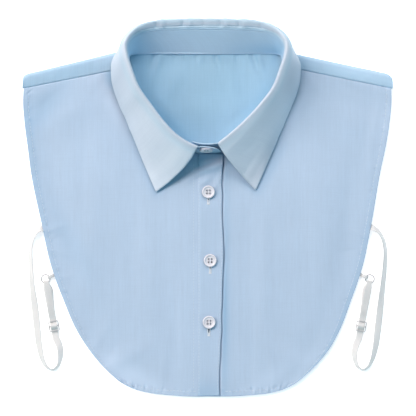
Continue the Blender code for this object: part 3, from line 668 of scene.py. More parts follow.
def shoulder_column(x, y, rim_level, side):
    """Return one column of the cloth that wraps over a shoulder and ends at the seam."""
    seed = SHOULDER_SEED[side]
    turn = np.radians(SHOULDER_FOLD_DEGREES)
    fold_y = y + FOLD_RADIUS * np.sin(turn)
    fold_level = rim_level + FOLD_RADIUS * (1.0 - np.cos(turn))
    fold = np.column_stack([np.full_like(turn, x), fold_y, fold_level])
    share = banded(*SHOULDER_BANDS)
    run = shoulder_seam_y(x, side) - y
    to_seam = (1.0 - share) * abs(run)
    high = rim_level + 2 * FOLD_RADIUS
    puckers = ripple(x, height=0.22, seed=seed, spacing=13.0) * np.sin(math.pi * share)
    seam_puckers = ripple(x, height=0.16, seed=seed + 2.0, spacing=8.0)
    puckers = puckers + seam_puckers * near(to_seam, SHOULDER_PUCKER_REACH)
    level = high + (SHOULDER_SEAM_LEVEL - high) * share * share
    level = level + puckers * eased(abs(x - GARMENT_MIDDLE), *SHOULDER_PUCKER_RANGE)
    level = level + ridges(to_seam, SHOULDER_RIDGES)
    return np.vstack([fold, np.column_stack([np.full_like(share, x), y + run * share, level])])


def back_grids():
    """Return the grids of the back: the flat part and the two parts folded over the shoulders."""
    rim = {}
    for side, line in FOLD_LINE.items():
        rim[side] = through(line, span_shares(line, FOLD_STEPS)) - np.array([0.0, FOLD_RADIUS])
    neck_points = [(x, NECK_LINE_Y) for x in NECK_LINE_X]
    neck_points = [tuple(rim["left"][-1])] + neck_points + [tuple(rim["right"][-1])]
    neck_line = through(neck_points, evenly(NECK_LINE_STATIONS))
    top = np.vstack([rim["left"], neck_line[1:-1], rim["right"][::-1]])
    rows = banded(*BACK_ROW_BANDS)
    columns = evenly(len(top))
    left_edge, right_edge = (
        through([tuple(corner)] + side_points(side, SIDE_EDGE, inset=BACK_INSET)[1:], rows)
        for side, corner in zip(SIDES, (top[0], top[-1]))
    )
    left_hem, right_hem = (side_points(side, HEM_EDGE, rise=BACK_HEM_RISE)[1:] for side in SIDES)
    hem = [tuple(left_edge[-1])] + left_hem + right_hem[::-1] + [tuple(right_edge[-1])]
    plan = patch(left_edge, right_edge, top, through(hem, columns), rows, columns)
    x = plan[..., 0]
    y = plan[..., 1]
    # the neck edge rises to the stand and puckers at its seam
    to_neck = np.maximum(NECK_LINE_Y - y, 0.0)
    puckers = NECK_PUCKERS + ripple(x, NECK_PUCKERS, seed=4.0, spacing=11.0)
    neck = NECK_RISE * near(to_neck, NECK_RISE_REACH) + puckers * near(to_neck, NECK_PUCKER_REACH)
    level = BACK_LEVEL + humps(x, y, BACK_CREASES) * inside_neck(x, y)
    level = level + neck * eased(np.abs(x - COLLAR_AXIS_X), *NECK_RANGE)
    grids = [np.dstack([plan, level])]
    for side, rim_levels in zip(SIDES, (level[0], level[0, ::-1])):
        places = zip(rim[side], rim_levels)
        grids.append(np.array([shoulder_column(*place, height, side) for place, height in places]))
    return grids


# The placket: its relief by the sewn edge and by the free edge
PLACKET_ROW_BANDS = ((0.0, 0.03, 6), (0.03, 0.97, 190), (0.97, 1.0, 8))
PLACKET_COLUMN_BANDS = ((0.0, 0.12, 6), (0.12, 0.88, 18), (0.88, 1.0, 6))
PLACKET_SEAM_RIDGES = [(0.0, 0.6, -0.14)]
PLACKET_EDGE_RIDGES = [(0.0, 0.5, -0.2), (1.2, 1.9, 0.15)]
PLACKET_LOWEST = -0.3
PLACKET_SEWN_DOWN = 0.3
PLACKET_SEWN_REACH = 1.6
BUTTON_DIP = 0.25
BUTTON_DIP_REACH = (6.5, 8.0)


def placket_grid():
    """Return the middle surface of the placket, its long edges stitched down."""
    rows = banded(*PLACKET_ROW_BANDS)
    across = banded(*PLACKET_COLUMN_BANDS)
    left = through([(PLACKET_LEFT, PLACKET_TOP), (PLACKET_LEFT, PLACKET_BOTTOM)], rows)
    right = through([(x, y) for y, x in PLACKET_RIGHT], rows)
    plan = left[:, None] * (1 - across[None, :, None]) + right[:, None] * across[None, :, None]
    x = plan[..., 0]
    y = plan[..., 1]
    to_left = x - x[:, :1]
    to_right = x[:, -1:] - x
    relief = ridges(to_left, PLACKET_SEAM_RIDGES) + ridges(to_right, PLACKET_EDGE_RIDGES)
    relief = relief + ripple(y, height=0.10, seed=1.0, spacing=14.0) * near(to_left - 1.0, 3.0)
    relief = relief + ripple(y, height=0.16, seed=2.2, spacing=31.0) * near(to_right - 1.0, 4.0)
    # a soft swell between the buttons and a dip under each button
    relief = relief + ripple(y, height=0.20, seed=5.1, spacing=47.0) * np.sin(math.pi * across)
    reach_x, reach_y = BUTTON_DIP_REACH
    for centre_x, centre_y in BUTTONS:
        relief = relief - BUTTON_DIP * near(x - centre_x, reach_x) * near(y - centre_y, reach_y)
    sewn_down = PLACKET_SEWN_DOWN * near(to_left, PLACKET_SEWN_REACH)
    level = PLACKET_LEVEL + np.maximum(relief, PLACKET_LOWEST) - sewn_down
    return np.dstack([plan, level + humps(x, y, NECK_FOLDS)])

# Short wrinkles across the roll behind the neck
ROLL_WRINKLES = [
    # centre_x, half_width, height, slant
    (-60.0, 2.6, 0.7, 0.20),
    (-46.5, 1.7, -1.20, 0.16),
    (-41.0, 2.0, 0.9, 0.10),
    (-22.5, 1.6, -0.95, -0.10),
    (-16.5, 2.2, 0.7, 0.04),
    (-4.0, 2.2, -0.6, 0.10),
    (10.8, 1.7, -1.0, 0.22),
    (16.5, 2.2, 0.8, 0.16),
    (27.5, 1.6, -1.15, 0.28),
    (33.5, 2.0, 0.8, 0.20),
    (47.5, 1.8, -1.0, 0.34),
    (56.0, 2.6, 0.7, 0.20),
]


# Where the leaf's outer edge stands off the fronts
LEAF_LIFTS = [
    (56.0, 44.0, 63.0, 22.0, 16.0, 0.7),
]

# How far each front edge of the leaf bows out past its straight line
FRONT_BOW = {
    # share from seam to tip, reach
    "left": [
        (0.0, 0.3), (0.12, 1.4), (0.26, 3.4), (0.42, 4.4),
        (0.58, 4.0), (0.75, 3.0), (0.9, 1.3), (1.0, 0.0),
    ],
    "right": [
        (0.0, 0.6), (0.12, 2.6), (0.26, 3.6), (0.42, 3.7),
        (0.58, 3.4), (0.75, 3.0), (0.9, 2.2), (1.0, 1.4),
    ],
}
FRONT_BOW_RANGE = (30.0, 0.0)

# How far the leaf sags towards the fronts beside its front edges
FRONT_SAG = [
    # share from seam to tip, drop
    (0.0, 0.0), (0.25, 0.8), (0.45, 3.2), (0.68, 5.0), (0.85, 3.6), (1.0, 0.4),
]
FRONT_SAG_RANGE = (45.0, 0.0)

# Details of the leaf and the stand
COLLAR_STATIONS = 281
LEAF_BANDS = ((0.0, 0.12, 20), (0.12, 0.32, 16), (0.32, 0.9, 16), (0.9, 1.0, 12))
LEAF_WAVE_RANGE = (12.0, 24.0)
LEAF_BEHIND_RANGE = (146.0, 156.0)
LEAF_ROUNDING = [(0.0, 0.6, -0.22)]
LEAF_TURNED_EDGE = [(5.5, 0.6, -0.12)]
LEAF_TURNED_RANGE = (0.0, 5.0)
LEAF_SEAM_RIDGE = [(1.3, 0.45, 0.22)]
LEAF_SEAM_GROOVE = [(2.4, 0.42, -0.46)]
ROLL_CREST = 4.6
ROLL_CREST_REACH = 5.0
ROLL_START_RANGE = (0.0, 1.6)
WRINKLE_PIVOT = 5.0
STAND_END_STATIONS = 24
STAND_BANDS = ((0.0, 0.14, 12), (0.14, 0.86, 12), (0.86, 1.0, 12))
STAND_BEHIND_RANGE = (120.0, 132.0)
STAND_TOP_RIDGES = [(0.75, 0.4, 0.22), (1.55, 0.4, -0.32)]
STAND_FOOT_RIDGES = [(0.8, 0.6, 0.42)]


def bowed(grid, shares):
    """Push both front edges of the leaf out along its surface, and let it sag beside them."""
    along = run_length(grid, 0)
    ahead = unit(np.gradient(grid, axis=0))
    moved = grid.copy()
    for side, to_front, turn in (("left", along, -1.0), ("right", along[-1:] - along, 1.0)):
        reach = turn * looked_up(shares, FRONT_BOW[side]) * eased(to_front, *FRONT_BOW_RANGE)
        moved = moved + ahead * reach[..., None]
        moved[..., 2] -= looked_up(shares, FRONT_SAG) * eased(to_front, *FRONT_SAG_RANGE)
    return moved


def wrinkled(x, across, rows, narrowing=1.0):
    """Return the height of wrinkles that slant as they run across the roll."""
    total = np.zeros_like(x)
    for centre, half_width, height, slant in rows:
        off = x - centre + slant * (across - WRINKLE_PIVOT)
        total += height * near(off, narrowing * half_width)
    return total


def fine_leaf():
    """Return the collar leaf's grid with its rolled edge, wrinkles, seam and slight waves."""
    shares = banded(*LEAF_BANDS)
    grid = bowed(leaf_grid(collar_sections(COLLAR_STATIONS), shares), shares)
    x = grid[..., 0]
    grid[..., 2] += humps(x, grid[..., 1], LEAF_LIFTS)
    along = run_length(grid, 0)
    across = run_length(grid, 1)
    to_edge = across[:, -1:] - across
    to_front = np.minimum(along, along[-1:] - along)
    behind = eased(grid[..., 1], *LEAF_BEHIND_RANGE)
    push = ripple(along, height=0.16, seed=7.0, spacing=26.0) * eased(across, *LEAF_WAVE_RANGE)
    push = push + ridges(to_edge, LEAF_ROUNDING) + ridges(to_front, LEAF_ROUNDING)
    push = push + ridges(to_edge, LEAF_TURNED_EDGE) * eased(to_front, *LEAF_TURNED_RANGE)
    near_roll = near(across - ROLL_CREST, ROLL_CREST_REACH) * eased(across, *ROLL_START_RANGE)
    push = push + wrinkled(x, across, ROLL_WRINKLES) * near_roll * behind
    # the seam's groove and its turned ridge inside the neck, uneven along their run
    ridge_share = 0.3 + 0.7 * near(x + 24.0, 26.0, power=4)
    seam = ridges(across, LEAF_SEAM_RIDGE) * ridge_share + ridges(across, LEAF_SEAM_GROOVE)
    push = push + seam * (0.75 + ripple(x, height=0.35, seed=3.0, spacing=40.0)) * behind
    normals = grid_normals(grid)
    facing = -1.0 if normals[len(normals) // 4, -4, 2] < 0 else 1.0
    return grid + normals * facing * push[..., None]


def fine_stand():
    """Return the stand's grid with slight waves, its top seam and its turned foot."""
    grid = stand_grid(COLLAR_STATIONS, STAND_END_STATIONS, banded(*STAND_BANDS))
    x = grid[..., 0]
    along = run_length(grid, 0)
    across = run_length(grid, 1)
    height = across[:, -1:]
    behind = eased(grid[..., 1], *STAND_BEHIND_RANGE)
    push = ripple(along, height=0.18, seed=9.0, spacing=34.0) * np.sin(math.pi * across / height)
    push = push + ridges(height - across, STAND_TOP_RIDGES) * behind
    # the turned foot stands up unevenly over the neck seam
    raised = 0.25 + near(x + 27.0, 26.0, power=4) + near(x - 63.0, 8.0, power=4)
    push = push + ridges(across, STAND_FOOT_RIDGES) * raised * behind
    return grid + grid_normals(grid) * push[..., None]


# ---- materials ----------------------------------------------------------------------------


def scaled(colour, shares, lift=0.0):
    """Return an opaque colour with each channel scaled by its share and lifted a little."""
    shares = shares if isinstance(shares, tuple) else (shares,) * 3
    return tuple(min(1.0, value * share + lift) for value, share in zip(colour, shares)) + (1.0,)


class Nodes:
    """A short way to write a node tree."""

    def __init__(self, material):
        self.tree = material.node_tree
        self.shader = self.tree.nodes["Principled BSDF"]

    def make(self, kind, **settings):
        made = self.tree.nodes.new(kind)
        for key, value in settings.items():
            setattr(made, key, value)
        return made

    def put(self, socket, value):
        if isinstance(value, bpy.types.NodeSocket):
            self.tree.links.new(value, socket)
        else:
            socket.default_value = value

    def set_shader(self, **values):
        for key, value in values.items():
            self.put(self.shader.inputs[key.replace("_", " ")], value)

    def parts_of(self, layer):
        split = self.make("ShaderNodeSeparateXYZ")
        place = self.make("ShaderNodeUVMap", uv_map=layer).outputs["UV"]
        self.put(split.inputs[0], place)
        return place, split.outputs["X"], split.outputs["Y"]

    def object_place(self):
        return self.make("ShaderNodeTexCoord").outputs["Object"]

    def math(self, operation, first, second=0.0, clamp=False):
        made = self.make("ShaderNodeMath", operation=operation, use_clamp=clamp)
        self.put(made.inputs[0], first)
        self.put(made.inputs[1], second)
        return made.outputs[0]

    def total(self, *shares):
        """Add up (value, share) pairs."""
        parts = [self.math("MULTIPLY", value, share) for value, share in shares]
        result = parts[0]
        for part in parts[1:]:
            result = self.math("ADD", result, part)
        return result

    def ribs(self, run, spacing):
        return self.math("SINE", self.math("MULTIPLY", run, 2 * math.pi / spacing))

    def noise(self, vector, scale, detail=2.0, roughness=0.5, stretch=None):
        if stretch is not None:
            vector = self.stretched(vector, stretch)
        made = self.make("ShaderNodeTexNoise")
        self.put(made.inputs["Vector"], vector)
        self.put(made.inputs["Scale"], scale)
        self.put(made.inputs["Detail"], detail)
        self.put(made.inputs["Roughness"], roughness)
        return made.outputs["Fac"]

    def stretched(self, vector, stretch):
        made = self.make("ShaderNodeVectorMath", operation="MULTIPLY")
        self.put(made.inputs[0], vector)
        made.inputs[1].default_value = stretch
        return made.outputs["Vector"]

    def spread(self, value, low, high, to_low, to_high):
        made = self.make("ShaderNodeMapRange")
        self.put(made.inputs["Value"], value)
        made.inputs["From Min"].default_value = low
        made.inputs["From Max"].default_value = high
        made.inputs["To Min"].default_value = to_low
        made.inputs["To Max"].default_value = to_high
        return made.outputs["Result"]

    def mix(self, factor, first, second):
        made = self.make("ShaderNodeMix", data_type="RGBA")
        self.put(made.inputs[0], factor)
        self.put(made.inputs[6], first)
        self.put(made.inputs[7], second)
        return made.outputs[2]

    def toned(self, tone, layers):
        """Mix in layers: rows of (value, low, high, share at low, share at high, colour)."""
        for value, low, high, share_low, share_high, colour in layers:
            tone = self.mix(self.spread(value, low, high, share_low, share_high), tone, colour)
        return tone

    def bump(self, height, distance, strength):
        made = self.make("ShaderNodeBump")
        made.inputs["Strength"].default_value = strength
        made.inputs["Distance"].default_value = distance
        self.put(made.inputs["Height"], height)
        self.put(self.shader.inputs["Normal"], made.outputs["Normal"])


def new_material(name, roughness):
    """Make a material with nodes and one roughness."""
    made = bpy.data.materials.new(name)
    made.use_nodes = True
    nodes = Nodes(made)
    nodes.set_shader(Roughness=roughness)
    return made, nodes


YARN = 0.00042
RIB_SPACING = 0.0009
CORD_SPACING = 0.0011
# Painted shade along the roll of the collar: distance from the seam, reach and share
COLLAR_CREST_SHADE = (5.0, 6.0, 1.0)
# How the colour changes under painted shade, painted light and painted bluer shade
PAINTED_SHADE_SHARES = (0.66, 0.82, 0.90)
PAINTED_SHADE_SHARES_COLLAR = (0.66, 0.70, 0.73)
PAINTED_LIGHT_SHARES = (1.24, 1.20, 1.18)
PAINTED_BLUE_SHADE_SHARES = (0.75, 0.95, 0.99)


def cotton(name, colour, streaks=1.0, crest=None, shade_shares=PAINTED_SHADE_SHARES):
    """Make fine blue shirting: blue warp and white weft, with painted shade and light from its tone
    layer and painted shade along a crest.
    """
    made, nodes = new_material(name, 0.78)
    nodes.set_shader(
        Sheen_Weight=0.05, Sheen_Roughness=0.45, Sheen_Tint=(0.85, 0.92, 1.0, 1.0),
        Specular_IOR_Level=0.18)
    place, x, y = nodes.parts_of("cloth")
    weave = nodes.math("MULTIPLY", nodes.ribs(x, YARN), nodes.ribs(y, YARN))
    slubs = nodes.noise(place, 1100.0, 2.0, 0.6, (1.0, 0.045, 1.0))
    cross_slubs = nodes.noise(place, 1000.0, 2.0, 0.6, (0.05, 1.0, 1.0))
    wide = nodes.noise(place, 330.0, 3.0, 0.55, (1.0, 0.03, 1.0))
    cloud = nodes.noise(place, 22.0, 3.0, 0.5)
    pale = scaled(colour, 1.18, 0.02)
    deep = scaled(colour, 0.88)
    tone = nodes.toned(scaled(colour, 1.0), [
        (wide, 0.3, 0.7, 0.0, 0.26 * streaks, pale),
        (slubs, 0.35, 0.7, 0.0, 0.30 * streaks, pale),
        (cross_slubs, 0.45, 0.75, 0.0, 0.20, deep),
        (cloud, 0.35, 0.65, 0.0, 0.22, deep),
        (weave, -1.0, 1.0, 0.0, 0.16, deep),
    ])
    # the tone layer: painted shade above 0, painted light below 0, and painted bluer shade in its
    # second value
    _, painted_shading, blue_shading = nodes.parts_of("tone")
    shades = ((painted_shading, 1.0, shade_shares), (painted_shading, -1.0, PAINTED_LIGHT_SHARES), (blue_shading, 1.0, PAINTED_BLUE_SHADE_SHARES))
    for value, sign, shares in shades:
        share = nodes.math("MULTIPLY", value, sign, clamp=True)
        tone = nodes.mix(share, tone, scaled(colour, shares))
    # painted shade along the collar's crest
    if crest is not None:
        place_across, reach, depth = crest
        away = nodes.math("ABSOLUTE", nodes.math("SUBTRACT", y, place_across * MM))
        tone = nodes.toned(tone, [(away, 0.0, reach * MM, depth, 0.0, deep)])
    nodes.set_shader(Base_Color=tone, Roughness=nodes.spread(slubs, 0.3, 0.7, 0.72, 0.86))
    nodes.bump(nodes.total((weave, 0.30), (slubs, 0.8), (cross_slubs, 0.4)), 0.00012, 0.5)
    return made


def thread(name, colour):
    """Make twisted sewing thread."""
    made, nodes = new_material(name, 0.6)
    twist = nodes.noise(nodes.object_place(), 2600.0, 2.0, 0.6, (1.0, 1.0, 0.4))
    tone = nodes.toned(scaled(colour, 1.0), [(twist, 0.35, 0.7, 0.0, 0.7, scaled(colour, 0.78))])
    nodes.set_shader(Sheen_Weight=0.2, Base_Color=tone)
    nodes.bump(twist, 0.0001, 0.5)
    return made


def elastic(name):
    """Make white ribbed elastic, ribs across the run of the strap."""
    made, nodes = new_material(name, 0.55)
    place, x, y = nodes.parts_of("cloth")
    ribs = nodes.ribs(y, RIB_SPACING)
    cords = nodes.ribs(x, CORD_SPACING)
    fuzz = nodes.noise(place, 900.0, 2.0, 0.6)
    grey = (0.610, 0.600, 0.590, 1.0)
    tone = nodes.toned((0.745, 0.735, 0.725, 1.0), [
        (ribs, -1.0, 1.0, 0.30, 0.0, grey),
        (cords, -1.0, 1.0, 0.22, 0.0, grey),
        (fuzz, 0.35, 0.7, 0.0, 0.25, grey),
    ])
    nodes.set_shader(
        Sheen_Weight=0.15, Subsurface_Weight=0.6, Subsurface_Radius=(1.0, 1.0, 1.0),
        Subsurface_Scale=0.0025, Base_Color=tone)
    nodes.bump(nodes.math("ADD", nodes.total((ribs, 0.5), (cords, 0.3)), fuzz), 0.00016, 0.6)
    return made


def moulded(name, colour, roughness, cloudiness, coat=0.3):
    """Make moulded plastic with faint swirls and fine scuffs."""
    made, nodes = new_material(name, roughness)
    place = nodes.object_place()
    swirl = nodes.noise(place, 260.0, 3.0, 0.6, (1.0, 0.6, 1.0))
    scuff = nodes.noise(place, 2400.0, 3.0, 0.65)
    deep = scaled(colour, 0.86)
    nodes.set_shader(
        Coat_Weight=coat, Coat_Roughness=0.12,
        Base_Color=nodes.toned(scaled(colour, 1.0), [(swirl, 0.35, 0.7, 0.0, cloudiness, deep)]),
        Roughness=nodes.spread(scuff, 0.3, 0.7, roughness, roughness + 0.14))
    nodes.bump(scuff, 0.00004, 0.25)
    return made


# ---- meshes -------------------------------------------------------------------------------

# Points of neighbouring grids closer than this, in metres, become one
WELD_DISTANCE = 0.00001


def new_object(name, verts, faces, material, uvs=None, smooth=True, tones=None):
    """Make a mesh object from points in millimetres, with its weave coordinates in metres."""
    mesh = bpy.data.meshes.new(name)
    mesh.from_pydata([tuple(row) for row in np.asarray(verts) * MM], [], faces)
    corners = np.empty(len(mesh.loops), dtype=np.int32)
    mesh.loops.foreach_get("vertex_index", corners)
    # the tone layer carries painted shade and painted light, with darker hems and seam lines
    for layer_name, values, scale in (("cloth", uvs, MM), ("tone", tones, 1.0)):
        if values is not None:
            layer = mesh.uv_layers.new(name=layer_name)
            values = np.asarray(values)[corners] * scale
            layer.data.foreach_set("uv", values.astype(np.float32).ravel())
    mesh.materials.append(material)
    mesh.validate()
    if smooth:
        mesh.shade_smooth()
    made = bpy.data.objects.new(name, mesh)
    bpy.context.scene.collection.objects.link(made)
    return made


def grid_faces(rows, columns, first=0):
    """Return the faces of a grid whose points are stored row by row."""
    faces = []
    for row in range(rows - 1):
        for column in range(columns - 1):
            corner = first + row * columns + column
            faces.append((corner, corner + columns, corner + columns + 1, corner + 1))
    return faces


def tube_faces(rings, sides, first=0, closed=True):
    """Return the faces between rings of points, and a cap at each end of a closed tube."""
    faces = []
    for ring in range(rings - 1):
        low = first + ring * sides
        for index in range(sides):
            after = (index + 1) % sides
            faces.append((low + index, low + after, low + sides + after, low + sides + index))
    if closed:
        last = first + (rings - 1) * sides
        faces.append(tuple(range(first, first + sides))[::-1])
        faces.append(tuple(range(last, last + sides)))
    return faces


def cloth(name, grids, uvs, tones, wall, material, turned_material=None):
    """Make one thin cloth shell from grids that share edges; later ones may show its other side."""
    verts = np.concatenate([grid.reshape(-1, 3) for grid in grids])
    faces = []
    first = 0
    for grid in grids:
        faces += grid_faces(*grid.shape[:2], first)
        first += grid.shape[0] * grid.shape[1]
    uvs = np.concatenate([layer.reshape(-1, 2) for layer in uvs])
    tones = np.concatenate([layer.reshape(-1, 2) for layer in tones])
    made = new_object(name, verts, faces, material, uvs, tones=tones)
    if turned_material is not None:
        made.data.materials.append(turned_material)
        rows, columns = grids[0].shape[:2]
        for polygon in made.data.polygons[(rows - 1) * (columns - 1):]:
            polygon.material_index = 1
    bm = bmesh.new()
    bm.from_mesh(made.data)
    bmesh.ops.remove_doubles(bm, verts=bm.verts, dist=WELD_DISTANCE)
    bmesh.ops.recalc_face_normals(bm, faces=bm.faces)
    bm.to_mesh(made.data)
    bm.free()
    made.data.shade_smooth()
    shell = made.modifiers.new("cloth_wall", "SOLIDIFY")
    shell.thickness = wall * MM
    shell.offset = 0.0
    shell.use_rim = True
    shell.use_quality_normals = True
    return made


def strip_uv(grid):
    """Return weave coordinates that follow a grid: across its rows, along its stations."""
    return np.dstack([run_length(grid, 0), run_length(grid, 1)])


def flat_uv(grid):
    """Return weave coordinates with the warp up the garment."""
    return grid[..., 0:2]


# ---- painted shade and painted light on the cloth -----------------------------------------

# Patches of painted shade (above 0) and painted light (below 0) on the fronts
FRONT_PAINTED_SHADING = [
    # centre_x, centre_y, degrees_from_x, half_length, half_width, tone
    (-149.0, 88.0, 48.0, 28.0, 11.0, 0.42),
    (-160.0, 52.0, 97.0, 60.0, 6.0, 0.34),
    (-122.0, -33.0, 117.0, 40.0, 10.0, 0.22),
    (-78.0, -143.0, 145.0, 30.0, 9.0, -0.42),
    (82.0, 93.0, 73.0, 26.0, 7.0, -0.45),
    (-86.0, 92.0, 112.0, 22.0, 7.0, -0.75),
    (74.0, 80.0, 66.0, 14.0, 7.0, -0.45),
    (10.8, 47.0, 60.0, 9.0, 7.0, -0.6),
    (-60.0, -155.0, 154.0, 40.0, 8.0, -0.42),
    (60.0, -151.0, 32.0, 40.0, 9.0, -0.38),
    (14.5, -100.0, 90.0, 56.0, 2.6, 0.5),
    (124.0, -124.0, 64.0, 52.0, 9.0, 0.42),
    (-124.0, -102.0, 118.0, 52.0, 4.0, -0.3),
    (158.0, 82.0, 83.0, 30.0, 6.0, -0.3),
    (16.0, -62.0, 90.0, 110.0, 4.5, 0.48),
    (18.0, 38.0, 60.0, 12.0, 8.0, 0.35),
    (60.0, 40.0, 63.0, 26.0, 4.0, 0.35),
    (-89.0, 117.0, 82.0, 18.0, 6.0, 0.55),
    (150.0, -20.0, 80.0, 40.0, 6.0, -0.12),
]
# Patches of painted shade (above 0) and painted light (below 0) on the back, with a darker line
# along the neck seam
YOKE_PAINTED_SHADING = [
    # centre_x, centre_y, degrees_from_x, half_length, half_width, tone
    (118.0, 124.0, -10.6, 60.0, 12.0, -1.0),
    (-32.0, 126.0, 0.0, 24.0, 12.0, -0.32),
    (-38.0, 108.0, 60.0, 26.0, 14.0, -0.26),
    (-37.0, 79.0, 135.0, 34.0, 6.0, 0.55),
    (48.0, 97.0, 50.0, 28.0, 6.0, 0.30),
    (18.0, 100.0, 90.0, 36.0, 28.0, 0.10),
    (-2.0, 139.4, 0.0, 76.0, 1.8, 0.85),
    (-50.0, 136.0, 76.0, 5.0, 1.2, 0.5),
    (-22.0, 136.0, 84.0, 4.0, 1.2, 0.5),
    (10.0, 136.0, 98.0, 4.5, 1.2, 0.5),
    (44.0, 135.0, 108.0, 6.0, 1.3, 0.6),
    (-120.0, 125.0, 10.6, 40.0, 5.0, 0.15),
]
# Patches of painted shade (above 0) and painted light (below 0) on the collar
LEAF_PAINTED_SHADING = [
    # centre_x, centre_y, degrees_from_x, half_length, half_width, tone
    (-80.0, 120.0, 82.0, 26.0, 12.0, 0.55),
    (-62.0, 100.0, 55.0, 30.0, 8.0, 0.22),
    (74.0, 122.0, 97.0, 28.0, 11.0, 0.75),
    (54.0, 97.0, 50.0, 30.0, 8.0, 0.35),
    (26.0, 33.0, -50.0, 16.0, 9.0, 0.26),
    (70.0, 76.0, 66.0, 16.0, 7.0, -0.30),
    (54.0, 47.0, 63.0, 26.0, 7.0, 0.45),
    (42.0, 29.0, 63.0, 14.0, 6.0, 0.38),
    (-70.0, 134.0, 75.0, 18.0, 8.0, 0.35),
    (-28.0, 49.0, 48.0, 20.0, 10.0, -0.55),
]
# Painted shade near the foot of the stand's inside, right of the middle
STAND_PAINTED_SHADE = [
    # centre_x, centre_y, degrees_from_x, half_length, half_width, tone
    (48.6, 142.0, 0.0, 26.0, 6.0, 0.55),
]
# The lower end of the placket, deeper where the layers of the hem lie under it, and painted shade
# and painted light at its top
PLACKET_TONE_AND_SHADING = [
    # centre_x, centre_y, degrees_from_x, half_length, half_width, tone
    (4.0, 37.0, 20.0, 16.0, 8.0, 0.38),
    (10.8, 47.5, 60.0, 9.0, 6.0, -0.5),
    (1.0, -168.0, 0.0, 40.0, 12.0, 0.42),
]
PLACKET_TONE = 0.08

# Painted shade on the leaf along its roll, its rim inside the neck and its wrinkles, and a darker
# line along its seam
ROLL_SHADE = 0.42
SEAM_TONE = 0.75
RIM_SHADE = 0.6
RIM_RANGE = (4.6, 2.2)
WRINKLE_SHADE = 0.45
LEAF_BESIDE_RANGE = (156.0, 140.0)

# Painted shade on the cloth just beside the collar's edge: how much, how far it reaches and up to
# where
COLLAR_EDGE_SHADE = 0.42
COLLAR_EDGE_SHADE_REACH = 4.5
COLLAR_EDGE_SHADE_TOP = 124.0

# The turned hem is deeper in colour outside its stitching, where the cloth is doubled, with flecks
# of painted shade in the pucker dimples beside it
HEM_BAND_RANGE = (5.0, 3.4)
HEM_FLECK_DISTANCE = 5.2
HEM_FLECK_REACH = 1.6
HEM_FLECK_LEAST = 0.15
HEM_FLECK_SHADE = 0.34
HEM_TONE = 0.12
SIDE_TONE = {"left": 0.12, "right": 0.34}
SIDE_TONE_RANGE = (50.0, 150.0)


def beside_collar(x, y):
    """Return 1 at the collar's edge on the fronts, easing to 0 away from it."""
    rim = np.vstack([leaf_surface[:, -1], leaf_surface[0, ::2], leaf_surface[-1, ::2]])
    nearest = np.full(x.shape, np.inf)
    for rim_x, rim_y, _ in rim[rim[:, 1] < COLLAR_EDGE_SHADE_TOP]:
        nearest = np.minimum(nearest, np.hypot(x - rim_x, y - rim_y))
    return near(nearest, COLLAR_EDGE_SHADE_REACH)


def hem_tone(to_edge, along, seed, strength):
    """Return how much deeper the turned hem is outside its stitching, with painted shade flecks in
    uneven runs beside it.
    """
    flecks = HEM_FLECK_LEAST + np.maximum(ripple(along, height=1.0, seed=seed, spacing=7.0), 0.0)
    flecks = HEM_FLECK_SHADE * flecks * near(to_edge - HEM_FLECK_DISTANCE, HEM_FLECK_REACH)
    return strength * eased(to_edge, *HEM_BAND_RANGE) + flecks


def tone_of(grid, table, base=0.0):
    """Return a piece's painted shade and light from its table of patches, with no painted bluer
    shade.
    """
    tone = base + humps(grid[..., 0], grid[..., 1], table)
    return np.dstack([tone, np.zeros_like(tone)])


def collar_shade(grid):
    """Return the painted shade that the cloth under the collar gains beside the collar's edge."""
    shade = COLLAR_EDGE_SHADE * beside_collar(grid[..., 0], grid[..., 1])
    return np.dstack([shade, np.zeros_like(shade)])


def front_tone(grid, side):
    """Return the tone of a front: its patches of painted shade and light, painted shade beside the
    collar, and its hems.
    """
    plan = grid[..., 0:2]
    down = run_length(plan, 0)
    out = run_length(plan, 1)
    seed = EDGE_SEED[side]
    side_strength = SIDE_TONE[side] * eased(down, *SIDE_TONE_RANGE)
    hems = hem_tone(out[:, -1:] - out, down, seed, side_strength)
    hems = hems + hem_tone(down[-1:] - down, out, seed + 2.0, HEM_TONE)
    return tone_of(grid, FRONT_PAINTED_SHADING) + collar_shade(grid) + np.dstack([hems, np.zeros_like(hems)])


def leaf_tone(grid):
    """Return the collar's tone: patches of painted shade and light, painted shade at its roll, rim
    and wrinkle grooves, a darker seam line, and painted bluer shade behind the neck and along the
    roll.
    """
    x = grid[..., 0]
    across = run_length(grid, 1)
    beside = eased(grid[..., 1], *LEAF_BESIDE_RANGE)
    behind = 1.0 - beside
    grooves = [row for row in ROLL_WRINKLES if row[2] < 0.0]
    wrinkles = wrinkled(x, across, grooves, narrowing=0.6) * near(across - ROLL_CREST, 4.0)
    tone = humps(x, grid[..., 1], LEAF_PAINTED_SHADING)
    # a darker line along the seam, and painted shade in the wrinkles' grooves, behind the neck
    tone = tone + (SEAM_TONE * near(across - 2.7, 0.8) - WRINKLE_SHADE * wrinkles) * behind
    # painted shade on the roll and its inner rim beside the neck
    roll = ROLL_SHADE * near(across - 6.0, 5.0) + RIM_SHADE * eased(across, *RIM_RANGE)
    # painted bluer shade behind the neck and along the roll
    blue_shade_share = behind + 0.6 * near(across - 6.0, 6.0) * beside
    return np.dstack([tone + roll * beside, blue_shade_share])


# ---- the cut pieces -----------------------------------------------------------------------

BLUE = (0.482, 0.602, 0.755)
# The back's blue is darker and more saturated: painted bluer shade for the back seen inside the
# neck
INNER_SHADE_BLUE = (0.347, 0.548, 0.698)
YOKE_BLUE = (0.430, 0.600, 0.760)
STAND_BLUE = (0.493, 0.660, 0.815)
COLLAR_BLUE = (0.695, 0.770, 0.875)
COLLAR_STREAKS = 0.7

